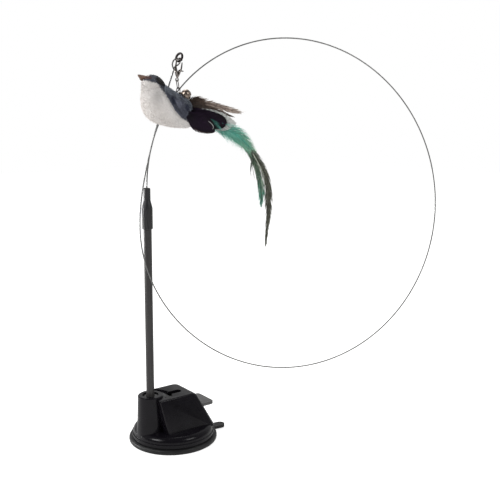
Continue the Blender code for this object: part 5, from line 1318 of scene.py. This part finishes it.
    def wing_piece(self, side: int, name: str, finish: Material) -> Piece:
        """A wing: a domed patch over the body's skin, with its own short nap.

        The patch is a disc of rings drawn in from the outline to its middle. Its outer face stands off
        the skin by the thickness times the root of one less the ring's share to the fifth power.
        """
        rng = np.random.default_rng(self.seed + 5 + side)
        closed = np.array(self.wing_outline + self.wing_outline[:1])
        outline = even_curve(closed, self.wing_sides + 1)[:-1]
        middle = np.array(self.wing_middle)
        shares = np.linspace(1, 0.04, self.wing_rings)
        flat = middle + (outline[None] - middle) * shares[:, None, None]
        dome = np.sqrt(np.clip(1 - shares[:, None] ** 5, 0, 1))
        lift = self.wing_edge + self.wing_thick * dome + 0 * flat[..., 0]
        outer = self.body.sheet_over(flat[..., 0], flat[..., 1], side, lift)
        inner = self.body.sheet_over(flat[::-1, :, 0], flat[::-1, :, 1], side, self.wing_gap + 0 * lift)
        rings = np.concatenate([outer[::-1], inner[::-1]])
        shell = capped(rings, rings[[0, -1]].mean(axis=1), flipped=side > 0)
        # The skin under the nap is painted darker than the nap: painted shade between the fibres.
        shell.tint = self.wing_tint(shell.points, rng) * 0.9
        ring = rng.uniform(0.1, 1, self.wing_pile) ** 0.5
        pick = rng.integers(0, self.wing_sides, self.wing_pile)
        spot = middle + (outline[pick] - middle) * ring[:, None] + rng.normal(0, 0.12, (self.wing_pile, 2))
        lift = 0.4 + self.wing_thick * np.sqrt(np.clip(1 - ring**5, 0, 1))
        roots = self.body.sheet_over(spot[:, 0], spot[:, 1], side, lift)
        normals = unit(roots - np.array(self.wing_axis))
        fibres = self.pile(roots, normals, self.nap_length, rng)
        tints = self.wing_tint(roots, rng)
        # Painted shade and light: the nap is darker at its roots and lighter at its tips.
        fibres.root_tints, fibres.tip_tints = tints * 0.85, tints * 1.15
        return shell.joined(fibres.surface()).toy_piece(name, finish)

    def wing_tint(self, points: Array, rng: Rng) -> Array:
        """Slate felt, paler at the rear rim, with two soft navy spots."""
        x, z = points[:, 0], points[:, 2]
        rear = smooth_steps(0.0, 2.6, x + 0.45 * (z - 258.0) - 33.2)
        crest = smooth_steps(-5.2, -1.8, z - 270.9 + 0.6 * (x - 25.5)) * (1 - smooth_steps(27.0, 31.0, x))
        rim = np.maximum(0.45 * rear, 0.5 * crest)[:, None]
        tint = mixed(self.slate, self.slate_light, rim)
        streak = 0.5 + 0.5 * np.sin((x * 0.82 + z * 0.57) * 2.2 + 0.8 * np.sin(z * 0.9))
        tint = tint * (0.85 + 0.3 * streak[:, None])
        for cx, cz, *size in self.wing_spots:
            spot = blot(x - cx, z - cz + 0.5 * (x - cx), size)
            spot = smooth_steps(0.15, 0.6, spot + rng.normal(0, 0.06, len(points)))[:, None]
            tint = mixed(tint, self.navy, spot)
        return tint

    def beak_piece(self, finish: Material) -> Piece:
        """The beak: two mandibles, each a row of rounded sections between a top and a bottom line."""
        upper = self.mandible(self.upper_beak, self.horn, self.horn_light)
        lower = self.mandible(self.lower_beak, tuple(value * 0.7 for value in self.horn), self.horn)
        return upper.joined(lower).toy_piece("horn_beak", finish, 60.0)

    def mandible(self, stations: Stations, tip: Colour, root: Colour) -> Surface:
        """One mandible: each section is a superellipse between its top and bottom lines."""
        table = curve_through(np.array(stations), 6)
        turns = full_turn(self.beak_sides)
        cos, sin = np.cos(turns), np.sin(turns)
        across = np.sign(cos) * np.abs(cos) ** 0.8
        high = np.sign(sin) * np.abs(sin) ** 0.8
        x = np.repeat(table[:, :1], self.beak_sides, axis=1)
        y = self.body.depth + table[:, 3:4] * across
        z = (table[:, 1:2] + table[:, 2:3]) / 2 + (table[:, 1:2] - table[:, 2:3]) / 2 * high
        rings = np.stack([x, y, z], axis=-1)
        horn = capped(rings, rings[[0, -1]].mean(axis=1), flipped=True)
        horn.tint = mixed(tip, root, np.clip((horn.points[:, 0] + 0.5) / 8.0, 0, 1)[:, None])
        return horn

    def build(self) -> None:
        """Makes the body, head, wings and beak and lets them stand for their solids."""
        plush, felt, horn = self.plush.material(), self.felt.material(), self.beak_felt.material()
        made = (
            (self.body_piece(plush), "bird_body", "white_plush"),
            (self.head_piece(plush), "bird_head", "head_plush"),
            (self.wing_piece(-1, "felt_wing_near", felt), "wing_near", "wing_felt"),
            (self.wing_piece(1, "felt_wing_far", felt), "wing_far", "wing_felt"),
            (self.beak_piece(horn), "beak", "beak"),
        )
        for piece, node, slot in made:
            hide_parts(node)
            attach(piece, "bird")
            log.info("bird: %s, %d faces", piece.name, len(piece.data.polygons))


# Feathers


@dataclass
class Feather:
    """A feather: a thin shaft with barbs on both sides, which end on the vane's outline.

    Each barb follows the shaft's own curve while it leaves it sideways, by sin of its angle times the share
    of its length, less a bend that turns it towards the tip. Its length is the one at which its tip lies on
    the outline, found by taking the half width at the last length's tip a few times over.
    """

    name: str
    node: str
    slot: str
    spine: Stations
    tints: tuple[Colour, Colour, Colour]
    paint: Painted
    barbs: int = 260
    angle_deg: Pair = (48.0, 22.0)
    half_width: float = 0.16
    bend: float = 0.25
    droop: float = 0.0
    loose: float = 0.06
    ragged: float = 0.12
    cup: float = 0.1
    wave: float = 0.0
    wave_turns: float = 1.5
    rings: int = 5
    taper: float = 0.7
    flatness: float = 0.35
    line_points: int = 400
    fit_rounds: int = 9
    last_root: float = 0.985
    least_angle: float = 0.08
    least_sideways: float = 0.06
    least_length: float = 0.25
    shaft_radius: float = 0.28
    shaft_tint: Colour = (0.05, 0.04, 0.035)
    upper_share: float = 1.0
    lower_share: float = 1.0
    clumps: int = 14
    clump_pull: float = 0.5
    vary: float = 0.25
    seed: int = 1
    tip_from: float = 0.1
    depth: float = -31.7
    trims: tuple[Trim, ...] = ()

    def line(self, count: int) -> tuple[Array, Array, Array]:
        """The shaft's centre line, its tangents and the vane's half widths, at equal distances."""
        table = even_curve(np.array(self.spine, float) + np.array([0, self.depth, 0, 0]), count)
        return table[:, :3], unit(np.gradient(table[:, :3], axis=0)), np.maximum(table[:, 3], 0)

    def vane(self, side: int, rng: Rng) -> Surface:
        """All the barbs of one side: 1 for the upper and -1 for the lower."""
        lag = 0.45 * self.bend
        line, tangents, half = self.line(self.line_points)
        steps = np.linspace(0, 1, self.line_points)
        run = float(np.linalg.norm(np.diff(line, axis=0), axis=1).sum())
        share = np.linspace(0.0, self.last_root, self.barbs) + rng.normal(0, 0.002, self.barbs)
        share = np.clip(share, 0, 1)
        beat = share * self.clumps
        clump = np.sin(beat * 2 * math.pi + side) * 0.5 + np.sin(beat * 4.7 + 2 * side) * 0.5
        angle = np.radians(np.interp(share, (0, 1), self.angle_deg))
        angle = angle * (1 + 0.16 * self.clump_pull * clump) + rng.normal(0, self.loose, self.barbs)
        angle = np.maximum(angle, self.least_angle)
        forward = np.cos(angle) + self.bend
        sideways = np.maximum(np.sin(angle) - lag, self.least_sideways)
        flank = self.upper_share if side > 0 else self.lower_share
        length = np.interp(share, steps, half) * flank / sideways
        for _ in range(self.fit_rounds):
            there = share + length * forward / run
            length = (length + np.interp(there, steps, half, right=0.0) * flank / sideways) / 2
        length = length * rng.uniform(1 - self.ragged, 1 + self.ragged * 0.6, self.barbs)
        length = np.maximum(length * (1 + 0.1 * self.clump_pull * clump), self.least_length)
        t = np.linspace(0, 1, self.rings + 1)[None]
        size = length[:, None]
        place = share[:, None] + size * (np.cos(angle)[:, None] * t + self.bend * t**2) / run
        inside = np.clip(place, 0, 1)
        centres = np.stack([np.interp(inside, steps, line[:, k]) for k in range(3)], axis=-1)
        along = unit(np.stack([np.interp(inside, steps, tangents[:, k]) for k in range(3)], axis=-1))
        centres = centres + along * ((place - inside) * run)[..., None]
        facing = np.array([0.0, -1.0, 0.0])
        across = unit(np.cross(along, facing)) * side
        phase = np.linspace(0, 37.0, self.barbs)[:, None]
        sway = np.sin(phase + t * self.wave_turns * 2 * math.pi) * self.wave * t
        offset = size * (np.sin(angle)[:, None] * t - lag * t**2 + sway)
        tilt, curl = rng.normal(0, self.loose, (2, self.barbs, 1))
        lift = size * ((tilt + self.cup) * np.sin(angle)[:, None] * t + curl * t**2)
        sag = size * self.droop * t**2
        centres = centres + across * offset[..., None] + facing * lift[..., None]
        centres = centres - np.array([0, 0, 1.0]) * sag[..., None]
        base, middle, tip = self.tints
        near = smooth_steps(0.0, 0.55, share)[:, None]
        far = smooth_steps(self.tip_from, 0.9, share)[:, None]
        vary = rng.uniform(1 - self.vary, 1 + self.vary, (self.barbs, 1)) * (1 + 0.15 * clump[:, None])
        girths = self.half_width * rng.uniform(0.7, 1.3, (self.barbs, 1))
        girths = girths * np.maximum(1 - t**2, SLIM_TIP) ** self.taper
        ways = along[:, 0] * np.cos(angle)[:, None] + across[:, 0] * np.sin(angle)[:, None]
        return strands(
            centres,
            unit(np.cross(ways, facing)),
            girths,
            self.flatness,
            mixed(base, middle, near) * vary,
            mixed(middle, tip, far) * vary,
        )

    @staticmethod
    def quill(path: Array, radius: Array | float, tint: Colour) -> Surface:
        """A thin painted tube along a path: the shaft, or a stray strand."""
        made = tube(path, radius, 8, facing=(0.0, -1.0, 0.0))
        made.tint = np.tile(tint, (len(made.points), 1))
        return made

    def build(self, finish: Material) -> Piece:
        """Makes the feather and lets it stand for its solid.

        Args:
            finish: The barbs' material.

        Returns:
            The finished piece, riding on the bird.
        """
        rng = np.random.default_rng(self.seed)
        line, _, _ = self.line(90)
        surface = self.quill(line, self.shaft_radius * (1 - 0.85 * np.linspace(0, 1, 90)), self.shaft_tint)
        surface = surface.joined(self.vane(1, rng)).joined(self.vane(-1, rng))
        for points, radius, tint in self.trims:
            path = even_curve(np.array(points) + np.array([0, self.depth, 0]), 24)
            thin = radius * np.sqrt(np.clip(1.05 - np.linspace(-1, 1, 24) ** 4, 0, 1))
            surface = surface.joined(self.quill(path, thin, tint))
        piece = surface.toy_piece(self.name, finish, 70.0)
        if self.node:
            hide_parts(self.node)
        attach(piece, "bird")
        log.info("feather: %s, %d faces", piece.name, len(piece.data.polygons))
        return piece


@dataclass
class Plumage:
    """All the feathers behind the wings, from the rump to the hanging tail."""

    brown: Painted = Painted("brown barbs", 0.75, sheen=0.05, vary=0.25, grain=700.0)
    black: Painted = Painted("black barbs", 0.45, vary=0.2, specular=0.12)
    white: Painted = Painted("white barbs", 0.8, vary=0.08)
    teal: Painted = Painted("teal down", 0.85, sheen=0.15, vary=0.15, grain=500.0)
    green: Painted = Painted("plume barbs", 0.6, sheen=0.05, vary=0.25, grain=400.0)

    def browns(self) -> list[Feather]:
        """The brown feathers over the rump: two long ones and a short dark lobe at their root."""
        dark, mid = (0.022, 0.015, 0.012), (0.055, 0.038, 0.03)
        pale, tan = (0.19, 0.14, 0.115), (0.46, 0.39, 0.34)
        return [
            Feather(
                "brown_plume_top", "brown_feather_upper", "brown_feather",
                (
                    (32.6, 5.2, 262.2, 1.4), (34.4, 5.3, 263.2, 1.9), (37.2, 5.4, 264.7, 2.8),
                    (40.6, 5.5, 265.0, 3.0), (44.4, 5.5, 263.9, 2.6), (49.0, 5.5, 262.9, 2.2),
                    (55.0, 5.4, 261.4, 2.0), (61.0, 5.3, 259.6, 1.8), (66.2, 5.2, 258.3, 1.6),
                    (69.2, 5.2, 257.6, 0.5),
                ),
                (dark, pale, tan), self.brown, barbs=330, angle_deg=(50, 12), half_width=0.16, bend=0.2,
                loose=0.06, ragged=0.4, clump_pull=1.5, clumps=9, vary=0.45, lower_share=1.1, seed=11,
            ),
            Feather(
                "brown_lobe", "", "brown_feather",
                (
                    (32.6, 4.6, 261.4, 1.8), (34.6, 4.6, 262.4, 2.9), (37.0, 4.6, 263.7, 3.8),
                    (39.8, 4.6, 264.2, 3.7), (42.2, 4.6, 263.8, 2.7), (43.9, 4.6, 263.4, 1.5),
                    (45.0, 4.6, 263.1, 0.4),
                ),
                ((0.03, 0.017, 0.012), (0.042, 0.026, 0.019), (0.062, 0.04, 0.03)), self.brown, barbs=380,
                angle_deg=(58, 34), half_width=0.2, bend=0.1, loose=0.03, ragged=0.12, vary=0.35, seed=13,
            ),
            Feather(
                "brown_plume_low", "brown_feather_lower", "brown_feather",
                (
                    (32.8, 3.6, 259.4, 0.8), (36.6, 3.7, 261.0, 1.6), (41.0, 3.8, 261.2, 2.0),
                    (46.0, 3.8, 260.2, 2.1), (51.0, 3.8, 258.9, 2.0), (56.0, 3.8, 257.3, 1.5),
                    (60.2, 3.7, 256.0, 1.0), (63.6, 3.6, 254.9, 0.4),
                ),
                (dark, mid, (0.1, 0.072, 0.058)), self.brown, barbs=360, angle_deg=(44, 12), bend=0.15,
                ragged=0.25, seed=12,
            ),
        ]

    def vanes(self) -> list[Feather]:
        """The two broad black feathers and the grey-white one behind them."""
        ink, purple, soot = (0.0036, 0.003, 0.0044), (0.011, 0.0048, 0.0145), (0.0075, 0.0065, 0.0065)
        edge = ((47.9, -3.6, 251.4), (50.2, -3.5, 249.6), (51.4, -3.4, 247.6), (50.9, -3.4, 245.7))
        lower = ((38.0, -4.3, 246.6), (41.0, -4.2, 244.9), (46.0, -4.0, 243.5), (50.6, -3.8, 243.6))
        rim, hem = (edge, 0.22, (0.32, 0.33, 0.32)), (lower, 0.18, (0.05, 0.032, 0.028))
        return [
            Feather(
                "black_vane_near", "black_feather_near", "black_feather",
                (
                    (31.4, -6.2, 257.0, 1.4), (34.2, -5.8, 255.9, 2.3), (36.6, -5.0, 254.2, 4.0),
                    (38.8, -4.2, 252.7, 5.8), (42.0, -3.3, 250.7, 6.9), (46.0, -3.0, 248.4, 5.9),
                    (49.0, -3.0, 246.3, 4.2), (51.4, -3.0, 244.6, 1.8), (52.2, -3.0, 244.0, 0.4),
                ),
                (ink, purple, soot), self.black, barbs=460, angle_deg=(62, 42), half_width=0.24, bend=0.15,
                loose=0.012, ragged=0.04, clump_pull=0.15, cup=0.03, shaft_radius=0.18, shaft_tint=ink,
                trims=(rim, hem), seed=21,
            ),
            Feather(
                "black_vane_far", "black_feather_far", "black_feather",
                (
                    (31.4, 2.0, 256.4, 3.2), (35.5, 1.2, 255.8, 4.6), (39.0, 0.9, 255.1, 5.5),
                    (45.0, 0.9, 253.6, 5.9), (51.5, 0.9, 251.9, 5.7), (56.0, 0.9, 250.7, 4.9),
                    (58.8, 0.9, 250.0, 3.3), (60.2, 0.9, 249.6, 1.0),
                ),
                (ink, purple, soot), self.black, barbs=460, angle_deg=(60, 40), half_width=0.24, bend=0.15,
                loose=0.012, ragged=0.04, clump_pull=0.15, cup=-0.03, shaft_radius=0.18, shaft_tint=ink,
                seed=22,
            ),
            Feather(
                "white_vane", "white_feather", "white_feather",
                (
                    (35.2, 2.5, 256.6, 2.4), (38.4, 2.5, 256.0, 3.8), (44.0, 2.5, 254.9, 5.1),
                    (51.0, 2.5, 252.7, 6.1), (57.0, 2.5, 250.8, 6.1), (61.6, 2.5, 250.2, 4.4),
                    (65.0, 2.5, 250.0, 2.2), (66.8, 2.5, 249.9, 0.5),
                ),
                ((0.42, 0.44, 0.43), (0.5, 0.52, 0.51), (0.52, 0.53, 0.5)), self.white, barbs=460,
                angle_deg=(46, 30), half_width=0.22, bend=0.15, loose=0.02, ragged=0.06,
                shaft_tint=(0.3, 0.3, 0.28), vary=0.12, seed=31,
            ),
        ]

    def tail(self) -> list[Feather]:
        """The teal down and the two long plumes that hang from it."""
        pale, mid = (0.38, 0.78, 0.68), (0.07, 0.33, 0.255)
        deep, sage = (0.045, 0.19, 0.145), (0.3, 0.46, 0.32)
        green, olive, drab = (0.075, 0.115, 0.076), (0.08, 0.083, 0.062), (0.066, 0.065, 0.051)
        grey, straw, shadow = (0.34, 0.35, 0.34), (0.32, 0.36, 0.29), (0.07, 0.08, 0.07)
        wisps = (
            (((78.4, 1.0, 226.0), (77.6, 1.0, 221.5), (77.2, 1.0, 216.4)), 0.42, shadow),
            (((77.8, 0.9, 222.0), (78.9, 0.9, 217.5), (79.9, 0.9, 211.6)), 0.26, grey),
            (((77.2, 0.8, 223.0), (77.0, 0.8, 218.0), (77.6, 0.8, 213.0)), 0.2, grey),
            (((82.2, 1.2, 224.0), (85.2, 1.2, 216.0), (86.6, 1.2, 206.0)), 0.3, straw),
            (((80.6, 1.2, 226.0), (84.4, 1.2, 215.0), (86.0, 1.2, 202.0)), 0.24, straw),
            (((84.0, 1.2, 220.0), (86.8, 1.2, 211.0), (87.2, 1.2, 200.0)), 0.26, straw),
            (((78.6, 0.2, 229.5), (82.6, 0.0, 222.4), (86.6, 0.0, 214.0)), 0.3, straw),
        )
        return [
            Feather(
                "teal_down", "tail_marabou", "teal_down",
                (
                    (44.0, 3.2, 251.0, 0.8), (50.0, 3.2, 249.6, 2.0), (55.0, 3.2, 247.8, 3.6),
                    (60.0, 3.2, 245.6, 4.8), (64.6, 3.1, 243.6, 5.2), (69.0, 2.8, 240.8, 4.8),
                    (73.2, 2.6, 237.0, 3.7), (77.4, 2.6, 232.4, 2.2), (81.0, 2.6, 227.6, 0.6),
                ),
                (pale, mid, sage), self.teal, barbs=820, angle_deg=(40, 18), half_width=0.095, bend=0.12,
                droop=0.05, loose=0.13, ragged=0.6, wave=0.04, rings=7, shaft_radius=0.3, shaft_tint=deep,
                clumps=9, clump_pull=1.4, vary=0.45, seed=41,
            ),
            Feather(
                "teal_tuft", "", "teal_down",
                (
                    (49.4, -1.3, 253.0, 0.5), (51.4, -1.3, 251.2, 1.3), (53.8, -1.3, 248.9, 1.5),
                    (56.2, -1.3, 246.2, 0.4),
                ),
                ((0.01, 0.035, 0.032), (0.02, 0.1, 0.085), (0.12, 0.34, 0.29)), self.teal, barbs=46,
                angle_deg=(34, 16), half_width=0.085, loose=0.16, ragged=0.5, wave=0.04, shaft_radius=0.12,
                shaft_tint=deep, seed=42,
            ),
            Feather(
                "plume_long", "tail_plume_long", "green_plume",
                (
                    (36.0, 1.9, 248.2, 0.5), (41.0, 2.2, 247.6, 0.7), (50.0, 2.9, 248.0, 0.9),
                    (60.0, 4.2, 245.0, 1.3), (69.6, 4.4, 239.6, 1.6), (75.0, 4.0, 234.4, 1.8),
                    (78.4, 2.2, 230.8, 2.0), (84.0, 0.5, 222.4, 2.1), (88.0, 0.4, 214.0, 2.1),
                    (89.8, 0.4, 204.6, 2.2), (90.0, 0.4, 195.0, 2.6), (90.2, 0.4, 187.6, 1.8),
                    (89.2, 0.4, 178.0, 1.2), (88.1, 0.4, 163.6, 0.5),
                ),
                (deep, olive, drab), self.green, barbs=640, angle_deg=(24, 13), half_width=0.13, bend=0.08,
                loose=0.05, ragged=0.4, rings=6, shaft_radius=0.34, shaft_tint=(0.03, 0.027, 0.02), clumps=16,
                clump_pull=1.3, vary=0.7, seed=51,
            ),
            Feather(
                "plume_short", "tail_plume_short", "green_plume",
                (
                    (36.0, 0.4, 247.6, 0.5), (40.0, 0.6, 246.2, 0.7), (48.0, 3.4, 247.4, 0.8),
                    (54.0, 4.4, 246.4, 1.0), (58.0, 4.9, 244.6, 1.2), (66.0, 4.8, 239.4, 1.4),
                    (73.4, 4.6, 233.8, 1.6), (78.2, 1.9, 226.4, 1.8), (81.6, 1.5, 218.6, 1.9),
                    (83.7, 1.5, 210.4, 2.0), (85.0, 1.5, 202.0, 2.2), (84.9, 1.5, 196.6, 1.5),
                    (84.7, 1.5, 192.2, 0.4),
                ),
                (deep, green, (0.1, 0.34, 0.26)), self.green, tip_from=0.62, barbs=520, angle_deg=(24, 13),
                half_width=0.13, bend=0.08, loose=0.05, ragged=0.4, rings=6, shaft_tint=(0.04, 0.06, 0.04),
                clump_pull=1.2, vary=0.5, trims=wisps, seed=52,
            ),
        ]

    def build(self) -> None:
        """Makes every feather, with one material for each finish."""
        made: dict[str, Material] = {}
        for feather in self.browns() + self.vanes() + self.tail():
            if feather.paint.name not in made:
                made[feather.paint.name] = feather.paint.material()
            feather.build(made[feather.paint.name])


# The studio


@dataclass
class Studio:
    """The plain floor, the even light and the camera at the photograph's viewpoint."""

    camera_m: Place = (-0.300, -0.48946, 0.25158)
    look: Place = (0.60133, 0.78085, -0.16935)
    roll_deg: float = 0.36
    lens_mm: float = 54.0
    floor_half_m: float = 3.0
    sky: float = 0.52
    front_glow: float = 0.1
    backdrop_glow: float = 0.54
    floor_colour: Colour = (0.86, 0.86, 0.85)
    floor_glow: float = 0.62
    backdrop_way: Place = (0.6, 0.78, 0.0)
    lamp_aim: Place = (0.03, -0.04, 0.16)
    lamps: tuple[tuple[str, Place, float, float], ...] = (
        ("key_lamp", (-1.3, -0.05, 1.1), 0.6, 12.0),
        ("fill_lamp", (0.55, -1.25, 1.0), 0.6, 6.0),
        ("top_lamp", (0.3, 0.9, 1.5), 0.8, 5.0),
        ("side_lamp", (-0.72, 0.86, 0.13), 0.16, 7.0),
    )

    def camera(self) -> None:
        """Puts the camera where the photograph was taken from, rolled a little."""
        data = bpy.data.cameras.new("photo_camera")
        data.lens = self.lens_mm
        data.sensor_width = 36.0
        data.clip_start = 0.01
        made = bpy.data.objects.new("photo_camera", data)
        aim = Vector(self.look).to_track_quat("-Z", "Y").to_matrix().to_4x4()
        roll = Matrix.Rotation(math.radians(self.roll_deg), 4, "Z")
        made.matrix_world = Matrix.Translation(self.camera_m) @ aim @ roll
        bpy.context.scene.collection.objects.link(made)
        bpy.context.scene.camera = made

    def floor(self) -> None:
        """A pale floor that reads as the white background except where the toy shades it."""
        half = self.floor_half_m
        corners = half * np.array([[-1, -1, 0], [1, -1, 0], [1, 1, 0], [-1, 1, 0]], float)
        graph = Graph("studio floor")
        paper = graph.noise(30.0, 4.0)
        light = tuple(min(value * 1.03, 1.0) for value in self.floor_colour)
        graph.feed("Base Color", graph.ramp(paper, [(0.3, self.floor_colour), (0.7, light)]))
        graph.feed("Roughness", 0.85)
        graph.feed("Specular IOR Level", 0.1)
        path = graph.node("LightPath")
        glow = graph.node("Math", operation="MULTIPLY")
        glow.inputs[1].default_value = self.floor_glow
        graph.link(path.outputs["Is Camera Ray"], glow.inputs[0])
        graph.feed("Emission Color", WHITE)
        graph.feed("Emission Strength", glow.outputs[0])
        piece = Surface(corners, np.array([[0, 1, 2, 3]])).to_piece("studio_floor", graph.material)

    def world(self) -> None:
        """Even light from all round, white to the camera, and brighter behind the toy for reflections."""
        world = bpy.data.worlds.new("studio light")
        bpy.context.scene.world = world
        world.use_nodes = True
        tree = world.node_tree
        ground = tree.nodes["Background"]
        ground.inputs["Color"].default_value = WHITE
        path = tree.nodes.new("ShaderNodeLightPath")
        way = tree.nodes.new("ShaderNodeTexCoord")
        facing = tree.nodes.new("ShaderNodeVectorMath")
        facing.operation = "DOT_PRODUCT"
        facing.inputs[1].default_value = self.backdrop_way
        tree.links.new(way.outputs["Generated"], facing.inputs[0])
        behind = tree.nodes.new("ShaderNodeMapRange")
        ends = {"From Min": -0.2, "From Max": 0.7, "To Min": self.front_glow, "To Max": self.backdrop_glow}
        for name, value in ends.items():
            behind.inputs[name].default_value = value
        tree.links.new(facing.outputs["Value"], behind.inputs["Value"])
        glossy = tree.nodes.new("ShaderNodeMix")
        glossy.inputs[2].default_value = self.sky
        tree.links.new(path.outputs["Is Glossy Ray"], glossy.inputs[0])
        tree.links.new(behind.outputs["Result"], glossy.inputs[3])
        seen = tree.nodes.new("ShaderNodeMix")
        seen.inputs[3].default_value = 1.0
        tree.links.new(path.outputs["Is Camera Ray"], seen.inputs[0])
        tree.links.new(glossy.outputs[0], seen.inputs[2])
        tree.links.new(seen.outputs[0], ground.inputs["Strength"])

    def lamp(self, name: str, place: Place, size_m: float, watts: float) -> None:
        """A soft square lamp that faces the toy's middle."""
        data = bpy.data.lights.new(name, "AREA")
        data.shape = "SQUARE"
        data.size = size_m
        data.energy = watts
        made = bpy.data.objects.new(name, data)
        aim = Vector(self.lamp_aim) - Vector(place)
        made.matrix_world = Matrix.Translation(place) @ aim.to_track_quat("-Z", "Y").to_matrix().to_4x4()
        bpy.context.scene.collection.objects.link(made)

    def build(self) -> None:
        """Sets up the camera, floor, world and lamps."""
        bpy.context.scene.view_settings.view_transform = "Standard"
        self.camera()
        self.floor()
        self.world()
        for lamp in self.lamps:
            self.lamp(*lamp)
        log.info("studio set")


def main() -> None:
    """Builds the studio and the dressed toy, base first and feathers last."""
    logging.basicConfig(level=logging.INFO, format="%(name)s: %(message)s")
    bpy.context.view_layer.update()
    Studio().build()
    Base().build()
    Mast().build()
    Hardware().build()
    Bird().build()
    Plumage().build()


if __name__ == "__main__":
    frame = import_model()
    main()
